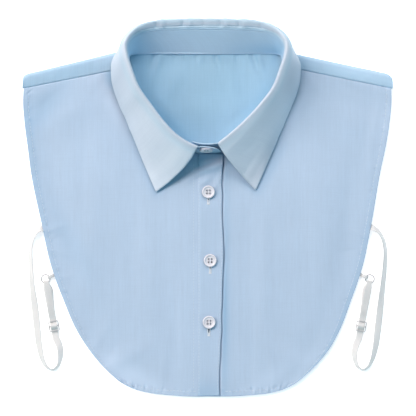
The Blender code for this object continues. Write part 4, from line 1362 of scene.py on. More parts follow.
front_cotton = cotton("front_cotton", BLUE)
back_shade_cotton = cotton("back_shade_cotton", INNER_SHADE_BLUE)
yoke_cotton = cotton("yoke_cotton", YOKE_BLUE)
collar_cotton = cotton("collar_cotton", COLLAR_BLUE, COLLAR_STREAKS, COLLAR_CREST_SHADE, PAINTED_SHADE_SHARES_COLLAR)
stand_cotton = cotton("stand_cotton", STAND_BLUE, COLLAR_STREAKS)
placket_cotton = cotton("placket_cotton", BLUE)

front_surface = {side: front_grid(side) for side in SIDES}
back_surface = back_grids()
placket_surface = placket_grid()
leaf_surface = fine_leaf()
stand_surface = fine_stand()

front_tones = {side: front_tone(front_surface[side], side) for side in SIDES}
back_tones = [tone_of(grid, YOKE_PAINTED_SHADING) for grid in back_surface]
placket_tones = tone_of(placket_surface, PLACKET_TONE_AND_SHADING, PLACKET_TONE)
placket_tones = placket_tones + collar_shade(placket_surface)
leaf_tones = leaf_tone(leaf_surface)
stand_tones = tone_of(stand_surface, STAND_PAINTED_SHADE)

# Each sheet of cloth with its flat cut, width and length in metres
SHEETS = [
    # node, grids, weave coordinates, tones, wall, materials, flat cut, held, what it lies on
    ("front_left", [front_surface["left"]], flat_uv, [front_tones["left"]], CLOTH_WALL,
     [front_cotton], (0.180, 0.298), "laid", ["front_right", "back_panel"]),
    ("front_right", [front_surface["right"]], flat_uv, [front_tones["right"]], CLOTH_WALL,
     [front_cotton], (0.176, 0.298), "laid", ["back_panel"]),
    ("back_panel", back_surface, flat_uv, back_tones, CLOTH_WALL,
     [back_shade_cotton, yoke_cotton], (0.334, 0.330), "laid", ["white_floor"]),
    ("placket", [placket_surface], flat_uv, [placket_tones], CLOTH_WALL,
     [placket_cotton], (0.023, 0.219), "laid", ["front_left"]),
    ("collar_leaf", [leaf_surface], strip_uv, [leaf_tones], COLLAR_WALL,
     [collar_cotton], (0.066, 0.440), "folded", ["front_left", "front_right", "collar_stand"]),
    ("collar_stand", [stand_surface], strip_uv, [stand_tones], COLLAR_WALL,
     [stand_cotton], (0.030, 0.436), "laid", ["front_left", "front_right", "back_panel"]),
]


for node, grids, weave, tones, wall, materials, (width, length), held, rests_on in SHEETS:
    name = node.replace("_panel", "") + "_cloth"
    piece = cloth(name, grids, [weave(grid) for grid in grids], tones, wall, *materials)
    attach(piece, "root")
    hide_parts(node)


# ---- thread and stitching -----------------------------------------------------------------

UP = (0.0, 0.0, 1.0)
THREAD_SIDES = 6
# A stitch swells from its ends: rows of (share of its length, share of its radius)
STITCH_RINGS = ((0.0, 0.45), (0.14, 0.9), (0.5, 1.0), (0.86, 0.9), (1.0, 0.45))
STITCH_WIDENING = 1.15
STITCH_FLATTENING = 0.8
STITCH_WANDER = 0.05
SHOULDER_STITCH_INSET = 1.5
STAND_STITCH_INSET = 1.3
LEAF_SEAM_STITCH_INSET = 1.4
PLACKET_STITCHES = [
    # distance from the edge, whether it is the free edge
    (1.0, False),
    (1.2, True),
]
FACING_STITCH_X = -12.9
FACING_COLUMNS = 60
FACING_ROWS = (66, 14)

white_thread = thread("white_thread", (0.80, 0.83, 0.88))
blue_thread = thread("blue_thread", (0.52, 0.64, 0.80))
pale_thread = thread("pale_blue_thread", (0.68, 0.77, 0.88))


def circle(sides):
    """Return even turns round a circle."""
    return [2 * math.pi * index / sides for index in range(sides)]


def surface_line(grid, wall, rows, columns):
    """Return points and normals on a grid's upper side along (row, column) places."""
    normals = grid_normals(grid)
    if normals[normals.shape[0] // 2, normals.shape[1] // 2, 2] < 0:
        normals = -normals
    rows = np.asarray(rows, dtype=float)
    columns = np.asarray(columns, dtype=float)
    row = np.clip(np.floor(rows).astype(int), 0, grid.shape[0] - 2)
    column = np.clip(np.floor(columns).astype(int), 0, grid.shape[1] - 2)
    down = (rows - row)[:, None]
    across = (columns - column)[:, None]

    def blend(values):
        first = values[row, column] * (1 - across) + values[row, column + 1] * across
        second = values[row + 1, column] * (1 - across) + values[row + 1, column + 1] * across
        return first * (1 - down) + second * down

    up = unit(blend(normals))
    return blend(grid) + up * wall / 2, up


class Stitches:
    """Many small thread stitches gathered into one mesh."""

    def __init__(self):
        self.verts = []
        self.faces = []

    def bar(self, start, end, up, radius):
        """Add one rounded bar of thread between two points."""
        start = np.asarray(start, dtype=float)
        end = np.asarray(end, dtype=float)
        run = unit(end - start)
        side = unit(np.cross(run, up))
        high = np.cross(side, run)
        self.faces += tube_faces(len(STITCH_RINGS), THREAD_SIDES, len(self.verts))
        for share, scale in STITCH_RINGS:
            centre = start + (end - start) * share - high * radius * 0.5 * abs(share - 0.5)
            for turn in circle(THREAD_SIDES):
                wide = side * math.cos(turn) * STITCH_WIDENING
                tall = high * math.sin(turn) * STITCH_FLATTENING
                self.verts.append(centre + (wide + tall) * radius * scale)

    def row(self, grid, wall, rows, columns, length=2.0, gap=0.8, radius=0.16, lift=0.02):
        """Add a row of running stitches along (row, column) places of a grid."""
        points, normals = surface_line(grid, wall, rows, columns)
        marks = run_length(points, 0)
        count = max(2, int(round(marks[-1] / (length + gap))) + 1)
        placed = interpolated(np.linspace(0.0, marks[-1], count), marks, points)
        runs = unit(np.gradient(placed, axis=0))
        ups = unit(interpolated(evenly(count), evenly(len(normals)), normals))
        for index, (place, run, up) in enumerate(zip(placed[:-1], runs[:-1], ups[:-1])):
            side = np.cross(run, up) * STITCH_WANDER * math.sin(index * 2.4)
            centre = (place + placed[index + 1]) / 2 + up * lift + side
            self.bar(centre - run * length / 2, centre + run * length / 2, up, radius)

    def finish(self, name, material):
        """Turn the gathered stitches into one piece."""
        made = new_object(name, self.verts, self.faces, material)
        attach(made, "root")
        return made


def columns_at(grid, distance, from_end=True):
    """Return the column that lies a distance from a grid's first or last one, in each row."""
    found = []
    for row in run_length(grid, 1):
        target = row[-1] - distance if from_end else distance
        found.append(np.interp(target, row, np.arange(len(row))))
    return np.array(found)


hem_thread = Stitches()
for grid in front_surface.values():
    # down the outer edge, then along the bottom
    columns = columns_at(grid, STITCH_INSET)
    rows = columns_at(np.swapaxes(grid, 0, 1), STITCH_INSET)
    last_row = int(rows[-1])
    down = np.arange(2, last_row)
    along = np.arange(0, int(columns[last_row]) + 1)
    along = along[np.abs(grid[-1, along, 0] - PLACKET_MIDDLE) > HEM_RANGE[0]]
    for places in ((down, columns[down]), (rows[along], along)):
        hem_thread.row(grid, CLOTH_WALL, *places, length=2.1, gap=0.9, radius=0.22, lift=0.08)
hem_thread.finish("hem_stitches", pale_thread)

seam_thread = Stitches()
for wrapped in back_surface[1:]:
    # a row along the shoulder seam, on the back piece's side
    rows = np.arange(14, wrapped.shape[0] - 3)
    columns = columns_at(wrapped, SHOULDER_STITCH_INSET)[rows]
    seam_thread.row(wrapped, CLOTH_WALL, rows, columns, length=1.9, radius=0.15)
seam_thread.finish("shoulder_stitches", blue_thread)

placket_thread = Stitches()
rows = np.arange(2, placket_surface.shape[0] - 2)
for distance, from_end in PLACKET_STITCHES:
    columns = columns_at(placket_surface, distance, from_end)[rows]
    placket_thread.row(
        placket_surface, CLOTH_WALL, rows, columns, length=1.9, radius=0.18, lift=0.04)
# the row beside the placket, which holds its facing
upper_front = front_surface["left"]
rows = range(FACING_ROWS[0], upper_front.shape[0] - FACING_ROWS[1])
facing = -upper_front[rows, :FACING_COLUMNS, 0]
columns = [np.interp(-FACING_STITCH_X, row, np.arange(FACING_COLUMNS)) for row in facing]
placket_thread.row(upper_front, CLOTH_WALL, rows, columns, length=1.8, gap=0.9)
placket_thread.finish("placket_stitches", pale_thread)

collar_thread = Stitches()
for distance, from_end, rows in (
    (LEAF_SEAM_STITCH_INSET, True, np.arange(60, 268)),
    (STAND_STITCH_INSET, False, np.arange(40, 290)),
):
    columns = columns_at(stand_surface, distance, from_end)[rows]
    collar_thread.row(stand_surface, COLLAR_WALL, rows, columns)
collar_thread.finish("collar_stitches", blue_thread)


# ---- buttonholes and buttons --------------------------------------------------------------

BUTTONHOLES = [
    # centre_x, top_y, bottom_y, opening_top_y, opening_bottom_y, opening_half_width
    (0.4, 17.6, 3.6, 16.6, 7.2, 0.42),
    (2.0, -44.2, -58.4, -45.2, -54.6, 0.42),
    (0.8, -99.6, -114.6, -100.6, -112.4, 0.55),
]
HOLE_STITCH_PITCH = 0.42
HOLE_STITCH_LENGTH = 1.0
HOLE_STITCH_RADIUS = 0.24
HOLE_STITCH_LIFT = 0.10
HOLE_STITCH_SKEW = 0.06
HOLE_GAP = 0.14
HOLE_BAR_HALF = 1.3
HOLE_BAR_RADIUS = 0.26
HOLE_BAR_SHIFTS = (-0.32, 0.0, 0.32)
HOLE_BAR_INSET = 0.15
HOLE_BAR_LIFT = 0.14
SLIT_STEPS = 24
SLIT_MARGIN = 0.22
SLIT_LIFT = 0.05
SLIT_SAG = 0.01


def placket_height(x, y):
    """Return the height of the placket's upper side at one place."""
    down = placket_surface[::-1, 0, 1]
    row = np.interp(y, down, np.arange(len(down))[::-1])
    across = placket_surface[0, :, 0]
    column = np.interp(x, across, np.arange(len(across)))
    points, _ = surface_line(placket_surface, CLOTH_WALL, [row], [column])
    return points[0, 2]


slit_verts = []
slit_faces = []
hole_thread = Stitches()
for centre_x, top_y, bottom_y, open_top, open_bottom, half_open in BUTTONHOLES:
    open_middle = (open_top + open_bottom) / 2
    open_reach = (open_top - open_bottom) / 2
    # stitches side by side down both lips
    for index in range(int((top_y - bottom_y) / HOLE_STITCH_PITCH)):
        y = top_y - (index + 0.5) * HOLE_STITCH_PITCH
        z = placket_height(centre_x, y) + HOLE_STITCH_LIFT
        share = (y - open_middle) / open_reach
        gap = HOLE_GAP + half_open * math.sqrt(max(0.0, 1.0 - share * share))
        for direction in (-1.0, 1.0):
            start = (centre_x + direction * gap, y, z)
            end_x = centre_x + direction * (gap + HOLE_STITCH_LENGTH)
            end = (end_x, y + HOLE_STITCH_SKEW * direction, z - HOLE_STITCH_SKEW)
            hole_thread.bar(start, end, UP, HOLE_STITCH_RADIUS)
    # a bar across each end
    for y in (top_y + HOLE_BAR_INSET, bottom_y - HOLE_BAR_INSET):
        z = placket_height(centre_x, y) + HOLE_BAR_LIFT
        for shift in HOLE_BAR_SHIFTS:
            ends = [(centre_x + half, y + shift, z) for half in (-HOLE_BAR_HALF, HOLE_BAR_HALF)]
            hole_thread.bar(*ends, UP, HOLE_BAR_RADIUS)
    # the opening, a dark sheet of painted shadow
    first = len(slit_verts)
    for index in range(SLIT_STEPS + 1):
        turn = math.pi * index / SLIT_STEPS
        y = open_middle + open_reach * math.cos(turn)
        half = SLIT_MARGIN + half_open * math.sin(turn)
        z = placket_height(centre_x, y) + SLIT_LIFT
        slit_verts += [
            (centre_x - half, y, z), (centre_x, y, z - SLIT_SAG), (centre_x + half, y, z)]
    slit_faces += grid_faces(SLIT_STEPS + 1, 3, first)
hole_thread.finish("buttonhole_stitches", white_thread)
slit_material, slit_nodes = new_material("buttonhole_shadow", 0.9)
slit_fuzz = slit_nodes.noise(slit_nodes.object_place(), 1800.0, 2.0, 0.6)
slit_nodes.set_shader(Base_Color=slit_nodes.toned(
    (0.03, 0.06, 0.10, 1.0), [(slit_fuzz, 0.35, 0.7, 0.0, 1.0, (0.09, 0.15, 0.22, 1.0))]))
slits = new_object("buttonhole_openings", slit_verts, slit_faces, slit_material)
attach(slits, "root")

BUTTON_SECTION = [
    # radius, height above the button's middle
    (0.0, -1.12), (4.8, -1.12), (5.5, -0.95), (5.88, -0.5), (5.98, 0.0), (5.94, 0.45),
    (5.74, 0.86), (5.4, 1.12), (5.0, 1.18), (4.62, 1.10), (4.3, 0.86), (4.06, 0.58),
    (3.8, 0.44), (3.3, 0.40), (0.0, 0.38),
]
BUTTON_SIDES = 72
BUTTON_RIM_RADIUS = 5.8
BUTTON_HALF = 1.12
BUTTON_CREASE_DEGREES = 38.0
HOLE_SECTION = [
    # radius, height above the button's middle
    (0.0, -4.0), (0.72, -4.0), (0.72, 0.22), (0.86, 0.46), (0.90, 3.0), (0.0, 3.0),
]
HOLE_SIDES = 20
HOLE_REACH = 1.3
REST_SIDES = 24

# Thread through a button: two strands over each pair of holes, and one down each hole
STRAND_SHIFTS = (-0.13, 0.16)
STRAND_LEVEL = 0.40
STRAND_SETBACK = 0.58
STRAND_RADIUS = 0.12
SHANK_LEVELS = (0.42, -1.3)
SHANK_SETBACKS = (0.62, 0.42)
SHANK_RADIUS = 0.13

# The neck button on the stand
STAND_BUTTON_X = -1.6
STAND_BUTTON_SHARE = 0.80
STAND_BUTTON_CLEARANCE = 0.35


def lathe(section, sides):
    """Return the points and faces of a closed turned form about Z, its section given bottom up."""
    points = [(0.0, 0.0, section[0][1])]
    for radius, height in section[1:-1]:
        for turn in circle(sides):
            points.append((radius * math.cos(turn), radius * math.sin(turn), height))
    points.append((0.0, 0.0, section[-1][1]))
    rings = len(section) - 2
    faces = tube_faces(rings, sides, 1, closed=False)
    top = 1 + (rings - 1) * sides
    for index in range(sides):
        after = (index + 1) % sides
        faces += [(0, 1 + after, 1 + index), (top + index, top + after, len(points) - 1)]
    return points, faces


def cut(made, cutter):
    """Cut one mesh from another and drop the cutter."""
    tool = made.modifiers.new("cut", "BOOLEAN")
    tool.operation = "DIFFERENCE"
    tool.solver = "EXACT"
    tool.material_mode = "TRANSFER"
    tool.object = cutter
    view = bpy.context.evaluated_depsgraph_get()
    mesh = bpy.data.meshes.new_from_object(made.evaluated_get(view))
    made.modifiers.remove(tool)
    old = made.data
    made.data = mesh
    bpy.data.meshes.remove(old)
    bpy.data.objects.remove(cutter, do_unlink=True)


def shade_by_angle(made, degrees):
    """Shade smooth, but keep edges sharper than an angle crisp."""
    bm = bmesh.new()
    bm.from_mesh(made.data)
    for face in bm.faces:
        face.smooth = True
    for edge in bm.edges:
        if len(edge.link_faces) == 2:
            edge.smooth = edge.calc_face_angle() < math.radians(degrees)
    bm.to_mesh(made.data)
    bm.free()


button_plastic = moulded("button_plastic", (0.80, 0.79, 0.84), 0.32, 0.5)
# painted shade: a dark outline ring at each button's rim
rim_shade = moulded("button_rim_plastic", (0.42, 0.45, 0.54), 0.4, 0.5, 0.0)
# painted shade inside the button's holes
hole_shade = moulded("button_hole_plastic", (0.16, 0.16, 0.21), 0.6, 0.5, 0.0)
button_thread = thread("button_thread", (0.66, 0.67, 0.74))


def shirt_button(name, node, place, lean):
    """Make one four-hole shirt button with its sewing thread; lean tips it about X."""
    def put(point):
        x, y, z = point
        return (
            place[0] + x,
            place[1] + y * math.cos(lean) - z * math.sin(lean),
            place[2] + y * math.sin(lean) + z * math.cos(lean),
        )

    made = new_object(name, *lathe(BUTTON_SECTION, BUTTON_SIDES), button_plastic)
    made.data.materials.append(rim_shade)
    # faces past the rim radius take the painted shade ring
    for polygon in made.data.polygons:
        edge = max(math.hypot(*made.data.vertices[index].co[:2]) for index in polygon.vertices)
        if edge > BUTTON_RIM_RADIUS * MM:
            polygon.material_index = 1
    corners = [(side_x, side_y) for side_x in (-1.0, 1.0) for side_y in (-1.0, 1.0)]
    ring, ring_faces = lathe(HOLE_SECTION, HOLE_SIDES)
    holes = []
    hole_faces = []
    for side_x, side_y in corners:
        hole_faces += [tuple(len(holes) + index for index in face) for face in ring_faces]
        holes += [(x + side_x * HOLE_REACH, y + side_y * HOLE_REACH, z) for x, y, z in ring]
    # the holes' walls take the cutter's painted shade material
    cut(made, new_object(name + "_cutter", holes, hole_faces, hole_shade))
    for vertex in made.data.vertices:
        vertex.co = [value * MM for value in put(vertex.co / MM)]
    shade_by_angle(made, BUTTON_CREASE_DEGREES)
    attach(made, "root")
    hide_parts(node)
    sewing = Stitches()
    up = np.array(put(UP)) - np.array(put((0.0, 0.0, 0.0)))
    for side_x in (-1.0, 1.0):
        for shift in STRAND_SHIFTS:
            level = STRAND_LEVEL + shift * 0.4
            start = put((side_x * HOLE_REACH + shift * 0.6, STRAND_SETBACK - HOLE_REACH, level))
            end = put((side_x * HOLE_REACH + shift, HOLE_REACH - STRAND_SETBACK, level))
            sewing.bar(start, end, up, STRAND_RADIUS)
        for side_y in (-1.0, 1.0):
            ends = [
                put((side_x * HOLE_REACH, side_y * (HOLE_REACH - setback), level))
                for setback, level in zip(SHANK_SETBACKS, SHANK_LEVELS)
            ]
            sewing.bar(*ends, (1.0, 0.0, 0.0), SHANK_RADIUS)
    sewing.finish(name + "_thread", button_thread)


def highest_under_button(x, y):
    """Return the height of the placket's highest point under a button's rim."""
    rim = [(x + BUTTON_RIM_RADIUS * math.cos(turn), y + BUTTON_RIM_RADIUS * math.sin(turn))
           for turn in circle(REST_SIDES)]
    return max(placket_height(*place) for place in rim + [(x, y)])


for number, (button_x, button_y) in enumerate(BUTTONS, start=1):
    level = highest_under_button(button_x, button_y) + BUTTON_HALF
    shirt_button("shirt_button_%d" % number, "button_%d" % number, (button_x, button_y, level), 0.0)

top = np.array(LEFT_STAND_END[-1][0:3])
foot = np.array(LEFT_STAND_END[-1][3:6])
stand_lean = math.atan2(top[2] - foot[2], top[1] - foot[1])
_, button_y, level = foot + (top - foot) * STAND_BUTTON_SHARE
reach = COLLAR_WALL / 2 + STAND_BUTTON_CLEARANCE + BUTTON_HALF
button_y -= reach * math.sin(stand_lean)
level += reach * math.cos(stand_lean)
shirt_button("neck_button", "button_stand", (STAND_BUTTON_X, button_y, level), stand_lean)


# ---- straps, rings and sliders ------------------------------------------------------------

LEFT_STRAP = [
    # x, y, twist_degrees
    (-143.4, -17.4, 0.0),
    (-147.4, -17.9, 3.0),
    (-150.4, -18.9, 36.0),
    (-153.6, -21.2, 60.0),
    (-157.0, -26.4, 63.0),
    (-159.0, -33.2, 61.0),
    (-159.6, -41.0, 58.0),
    (-159.2, -51.0, 55.0),
    (-158.1, -69.5, 48.0),
    (-155.7, -89.3, 20.0),
    (-153.6, -108.2, 24.0),
    (-151.2, -127.0, 38.0),
    (-148.5, -137.0, 56.0),
    (-144.6, -143.4, 70.0),
    (-139.9, -145.6, 75.0),
    (-135.7, -143.0, 70.0),
    (-133.2, -136.6, 54.0),
    (-133.0, -127.6, 32.0),
    (-136.6, -117.6, 3.0),
]
RIGHT_STRAP = [
    # x, y, twist_degrees
    (141.4, -16.8, 0.0),
    (145.6, -17.2, -3.0),
    (149.0, -18.2, -36.0),
    (153.0, -21.0, -60.0),
    (157.0, -27.2, -63.0),
    (159.0, -34.4, -61.0),
    (159.5, -42.0, -58.0),
    (158.8, -55.1, -50.0),
    (157.2, -69.5, -44.0),
    (155.0, -89.3, -22.0),
    (152.8, -108.2, -16.0),
    (150.2, -127.0, -38.0),
    (147.4, -137.0, -56.0),
    (143.6, -143.4, -70.0),
    (139.1, -145.6, -75.0),
    (135.0, -143.0, -70.0),
    (132.4, -136.6, -54.0),
    (132.2, -127.6, -32.0),
    (135.6, -117.8, -3.0),
]
# Lift above the table and width at each row of a strap
STRAP_FORMS = [(1.15, 6.0), (1.15, 6.0), (0.9, 6.2), (0.5, 6.4), (0.3, 6.4)]
STRAP_FORMS += [(0.2, 6.4)] * 13 + [(0.3, 6.4)]

# The strap past its slider: a run is gap_share of the way to the ring's wire, plus an offset
STRAP_RUNS = [
    # gap_share, offset, height, width
    (0.0, -6.4, 0.80, 6.4),
    (0.0, -4.3, 1.02, 6.4),
    (0.0, -3.6, 1.15, 6.4),
    (0.0, -1.0, 3.60, 6.4),
    (0.0, 0.0, 3.90, 6.4),
    (0.0, 1.0, 3.60, 6.4),
    (0.0, 3.5, 1.30, 6.4),
    (0.0, 4.6, 1.15, 6.4),
    (0.0, 7.0, 1.60, 6.4),
    (0.0, 11.0, 2.60, 6.4),
    (0.6, 0.0, 3.40, 6.5),
    (1.0, -4.2, 3.90, 6.3),
]
STRAP_RETURN_RUNS = [
    # gap_share, offset, height, width
    (1.0, -4.2, 0.72, 6.2),
    (0.6, 0.0, 0.78, 6.4),
    (0.0, 13.0, 0.70, 6.4),
    (0.0, 9.5, 0.70, 6.4),
]
STRAP_LOOP = (1.6, 2.1)
STRAP_LOOP_WIDTH = 4.8
STRAP_SPLAY = 1.3
STRAP_STATIONS = 220
STRAP_SPAN_STEPS = 7
RING_TAB_RUNS = [
    # run from the wire, height
    (7.5, 1.8),
    (4.5, 1.9),
    (2.2, 3.2),
]
RING_TAB_RETURN_RUN = (2.0, 0.6)
RING_TAB_LOOP = (1.6, 1.7)
RING_TAB_DEGREES = 25.0
RING_TAB_WIDTH = 3.2
RING_TAB_STATIONS = 90
RING_RADIUS = 3.9
RING_WIRE_RADIUS = 0.58
RING_LEVEL = 2.2
RING_STEPS = 96
WIRE_SIDES = 18
SLIDER_LENGTH = 9.6
SLIDER_WIDTH = 9.4
SLIDER_BAR = 0.9
SLIDER_THICKNESS = 0.8
SLIDER_LEVEL = 2.5
SLIDER_CORNER = 1.3
SLOT_CORNER = 0.6
SLOT_CUT_HEIGHT = 6.0
SLIDER_ROUNDING = 0.26
SLIDER_ROUNDING_STEPS = 4
SLIDER_ROUNDING_DEGREES = 40.0
CORNER_STEPS = 7
STRAP_THICKNESS = 0.9
STRAP_CLEARANCE = 0.2
ELASTIC_UV_START = 20.0
TOWARD_BODY = {"left": 1.0, "right": -1.0}
SLIDERS = {"left": (-138.6, -106.2), "right": (137.8, -106.4)}
RINGS = {"left": (-146.0, -63.8), "right": (145.6, -63.8)}

# Cross-section of the elastic, as shares of its width and thickness
ELASTIC_SECTION = [
    (-0.5, -0.18), (-0.47, -0.42), (-0.40, -0.5), (-0.2, -0.46), (0.0, -0.46), (0.2, -0.46),
    (0.40, -0.5), (0.47, -0.42), (0.5, -0.18), (0.5, 0.18), (0.47, 0.42), (0.40, 0.5),
    (0.2, 0.46), (0.0, 0.46), (-0.2, 0.46), (-0.40, 0.5), (-0.47, 0.42), (-0.5, 0.18),
]

elastic_white = elastic("white_elastic_weave")
clear_plastic = moulded("clear_moulded_plastic", (0.56, 0.56, 0.57), 0.3, 0.45, 0.4)


def ribbon(name, centres, across, twists, widths):
    """Loft rounded elastic along its centre line; twist turns it about its own run."""
    along = unit(np.gradient(centres, axis=0))
    runs = run_length(centres, 0)
    verts = []
    uvs = []
    rows = zip(centres, along, across, np.radians(twists), widths, runs)
    for index, (centre, direction, wide, twist, width, run) in enumerate(rows):
        thick = np.cross(direction, wide)
        turned_wide = wide * math.cos(twist) + thick * math.sin(twist)
        turned_thick = (thick * math.cos(twist) - wide * math.sin(twist)) * STRAP_THICKNESS
        # the edges waver slightly
        fray = 1.0 + 0.015 * math.sin(index * 1.9) + 0.012 * math.sin(index * 0.83)
        for share_wide, share_thick in ELASTIC_SECTION:
            place = centre + turned_wide * width * fray * share_wide + turned_thick * share_thick
            verts.append(place)
            uvs.append((share_wide * width + ELASTIC_UV_START, run))
    faces = tube_faces(len(centres), len(ELASTIC_SECTION))
    return new_object(name, verts, faces, elastic_white, uvs)


def loop_round_wire(wire_run, direction, half_height, reach):
    """Return (run, height) steps of a strap bending back round a ring's wire."""
    turns = [math.radians(degrees) for degrees in range(90, -91, -30)]
    return [
        (wire_run + direction * reach * math.cos(turn), RING_LEVEL + half_height * math.sin(turn))
        for turn in turns
    ]


def level_across(along):
    """Return the level direction at right angles to each run direction."""
    return unit(np.cross(np.array(UP), along))


def strap(side):
    """Make one elastic strap: tab, hanging loop, slider crossing and doubled run to its ring."""
    places = LEFT_STRAP if side == "left" else RIGHT_STRAP
    keys = [(x, y, 0.0, twist, *form) for (x, y, twist), form in zip(places, STRAP_FORMS)]
    rows = through(keys, evenly(STRAP_STATIONS))
    twist, lift, width = rows[:, 3:].T
    turn = np.radians(np.abs(twist))
    height = (width * np.sin(turn) + STRAP_THICKNESS * np.cos(turn)) / 2 + lift + STRAP_CLEARANCE
    hanging = np.column_stack([rows[:, :2], height])
    slider_place = np.array(SLIDERS[side])
    to_ring = np.array(RINGS[side]) - slider_place
    course = unit(to_ring)
    to_wire = np.linalg.norm(to_ring) - RING_RADIUS

    def at(run, level, width, splay=0.0):
        x, y = slider_place + course * run
        return (x + TOWARD_BODY[side] * splay, y, level, width)

    doubled = [at(to_wire * share + offset, *others) for share, offset, *others in STRAP_RUNS]
    for run, level in loop_round_wire(to_wire, 1.0, *STRAP_LOOP):
        doubled.append(at(run, level, STRAP_LOOP_WIDTH))
    for share, offset, *others in STRAP_RETURN_RUNS:
        doubled.append(at(to_wire * share + offset, *others, STRAP_SPLAY * share))
    doubled = through(doubled, span_shares(doubled, [STRAP_SPAN_STEPS] * (len(doubled) - 1)))
    centres = np.vstack([hanging, doubled[:, :3]])
    flat = np.tile(level_across(np.append(course, 0.0)), (len(doubled), 1))
    across = np.vstack([level_across(np.gradient(hanging, axis=0)), flat])
    twists = np.concatenate([twist, np.zeros(len(doubled))])
    widths = np.concatenate([width, doubled[:, 3]])
    return ribbon("elastic_strap_" + side, centres, across, twists, widths)


def ring_tab(side):
    """Make the short tab that holds the ring to the side edge."""
    angle = math.radians(RING_TAB_DEGREES)
    course = np.array([TOWARD_BODY[side] * math.cos(angle), math.sin(angle)])
    steps = [(RING_RADIUS + run, level) for run, level in RING_TAB_RUNS]
    steps += loop_round_wire(RING_RADIUS, -1.0, *RING_TAB_LOOP)
    run, level = RING_TAB_RETURN_RUN
    steps.append((RING_RADIUS + run, level))
    places = [(*(np.array(RINGS[side]) + course * run), level) for run, level in steps]
    rows = through(places, evenly(RING_TAB_STATIONS))
    across = np.tile(level_across(-np.append(course, 0.0)), (len(rows), 1))
    widths = np.full(len(rows), RING_TAB_WIDTH)
    return ribbon("elastic_tab_" + side, rows, across, np.zeros(len(rows)), widths)


def wire_ring(side):
    """Make the round ring."""
    x, y = RINGS[side]
    verts = []
    for turn in circle(RING_STEPS):
        for roll in circle(WIRE_SIDES):
            reach = RING_RADIUS + RING_WIRE_RADIUS * math.cos(roll)
            height = RING_LEVEL + RING_WIRE_RADIUS * math.sin(roll)
            verts.append((x + reach * math.cos(turn), y + reach * math.sin(turn), height))
    # the last ring of faces ends on the first ring of points
    walls = tube_faces(RING_STEPS + 1, WIRE_SIDES, closed=False)
    faces = [tuple(index % len(verts) for index in face[::-1]) for face in walls]
    return new_object("plastic_ring_" + side, verts, faces, clear_plastic)


def rounded_box(length, width, height, corner, middle_x=0.0):
    """Return the points and faces of an upright block with rounded corners."""
    outline = []
    for sign_x, sign_y, start in ((1, 1, 0.0), (-1, 1, 90.0), (-1, -1, 180.0), (1, -1, 270.0)):
        for degrees in np.linspace(start, start + 90.0, CORNER_STEPS):
            turn = math.radians(degrees)
            outline.append((
                middle_x + sign_x * (length / 2 - corner) + corner * math.cos(turn),
                sign_y * (width / 2 - corner) + corner * math.sin(turn)))
    points = [(x, y, z) for z in (-height / 2, height / 2) for x, y in outline]
    return points, tube_faces(2, len(outline))


def strap_slider(side):
    """Make the slider: a rounded flat frame with a bar across its middle."""
    frame_form = rounded_box(SLIDER_LENGTH, SLIDER_WIDTH, SLIDER_THICKNESS, SLIDER_CORNER)
    made = new_object("plastic_slider_" + side, *frame_form, clear_plastic)
    slot_length = (SLIDER_LENGTH - 3 * SLIDER_BAR) / 2
    slot_width = SLIDER_WIDTH - 2 * SLIDER_BAR
    for direction in (-1.0, 1.0):
        middle = direction * (SLIDER_BAR + slot_length) / 2
        hole = rounded_box(slot_length, slot_width, SLOT_CUT_HEIGHT, SLOT_CORNER, middle)
        cut(made, new_object("slot_cutter", *hole, clear_plastic))
    rounding = made.modifiers.new("rounding", "BEVEL")
    rounding.width = SLIDER_ROUNDING * MM
    rounding.segments = SLIDER_ROUNDING_STEPS
    rounding.limit_method = "ANGLE"
    rounding.angle_limit = math.radians(SLIDER_ROUNDING_DEGREES)
    x, y = SLIDERS[side]
    ring_x, ring_y = RINGS[side]
    made.location = (x * MM, y * MM, SLIDER_LEVEL * MM)
    made.rotation_euler = (0.0, 0.0, math.atan2(ring_y - y, ring_x - x))
    made.data.shade_smooth()
    return made


for side in SIDES:
    for made, node, slot in (
        (strap(side), "strap_" + side, "white_elastic"),
        (ring_tab(side), "ring_tab_" + side, "white_elastic"),
        (wire_ring(side), "ring_" + side, "clear_plastic"),
        (strap_slider(side), "slider_" + side, "clear_plastic"),
    ):
        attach(made, "root")
        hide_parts(node)


# ---- camera, lights and floor -------------------------------------------------------------

FRAME_WIDTH = 0.3744
SENSOR_WIDTH = 36.0
CAMERA_HEIGHT = 6.0
CAMERA_REACH = 50.0
LIGHT_DISTANCE = 4.0
FLOOR_HALF = 6000

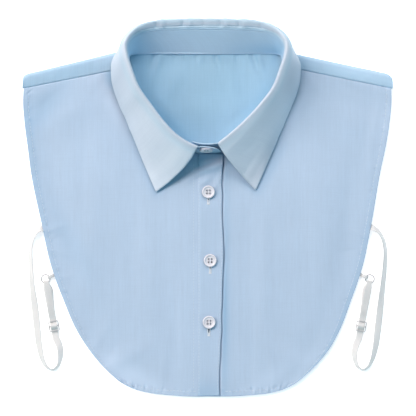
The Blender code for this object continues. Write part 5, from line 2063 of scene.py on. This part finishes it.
LIGHTS = [
    # name, degrees round from x, degrees up, size, power, colour
    ("key", 137.0, 52.0, 1.5, 69.0, (1.0, 0.858, 0.811)),
    ("top_fill", 78.0, 38.0, 2.0, 81.0, (1.0, 0.934, 0.919)),
    ("left_fill", 165.0, 34.0, 1.6, 74.0, (1.0, 0.917, 0.881)),
    ("right_fill", 10.0, 44.0, 1.6, 14.0, (0.15, 0.75, 1.0)),
    ("low_left_fill", 222.0, 20.0, 1.6, 19.0, (0.31, 0.92, 1.0)),
    ("low_right_fill", 322.0, 20.0, 1.6, 35.0, (0.71, 0.91, 1.0)),
]

camera_data = bpy.data.cameras.new("camera")
camera_data.sensor_width = SENSOR_WIDTH
camera_data.lens = SENSOR_WIDTH * CAMERA_HEIGHT / FRAME_WIDTH
camera_data.clip_end = CAMERA_REACH
camera = bpy.data.objects.new("camera", camera_data)
camera.location = (0.0, 0.0, CAMERA_HEIGHT)
bpy.context.scene.collection.objects.link(camera)
bpy.context.scene.camera = camera


def area_light(name, degrees, elevation, size, power, colour):
    """Make a square soft light aimed at the middle of the garment from one direction."""
    data = bpy.data.lights.new(name, "AREA")
    data.size = size
    data.energy = power
    data.color = colour
    turn = math.radians(degrees)
    rise = math.radians(elevation)
    made = bpy.data.objects.new(name, data)
    made.location = (
        LIGHT_DISTANCE * math.cos(rise) * math.cos(turn),
        LIGHT_DISTANCE * math.cos(rise) * math.sin(turn),
        LIGHT_DISTANCE * math.sin(rise),
    )
    made.rotation_euler = (math.pi / 2 - rise, 0.0, turn + math.pi / 2)
    bpy.context.scene.collection.objects.link(made)


for light in LIGHTS:
    area_light(*light)

world = bpy.data.worlds.new("studio")
world.use_nodes = True
world.node_tree.nodes["Background"].inputs["Color"].default_value = (0.35, 0.74, 1.0, 1.0)
world.node_tree.nodes["Background"].inputs["Strength"].default_value = 0.12
bpy.context.scene.world = world
bpy.context.scene.view_settings.view_transform = "Standard"

floor_material, floor_nodes = new_material("pale_floor", 0.9)
floor_nodes.set_shader(
    Base_Color=(0.90, 0.90, 0.90, 1.0), Emission_Color=(1.0, 1.0, 1.0, 1.0), Emission_Strength=0.6)
floor_signs = ((-1, -1), (1, -1), (1, 1), (-1, 1))
floor_corners = [(x * FLOOR_HALF, y * FLOOR_HALF, 0) for x, y in floor_signs]
floor = new_object("floor", floor_corners, [(0, 1, 2, 3)], floor_material, smooth=False)
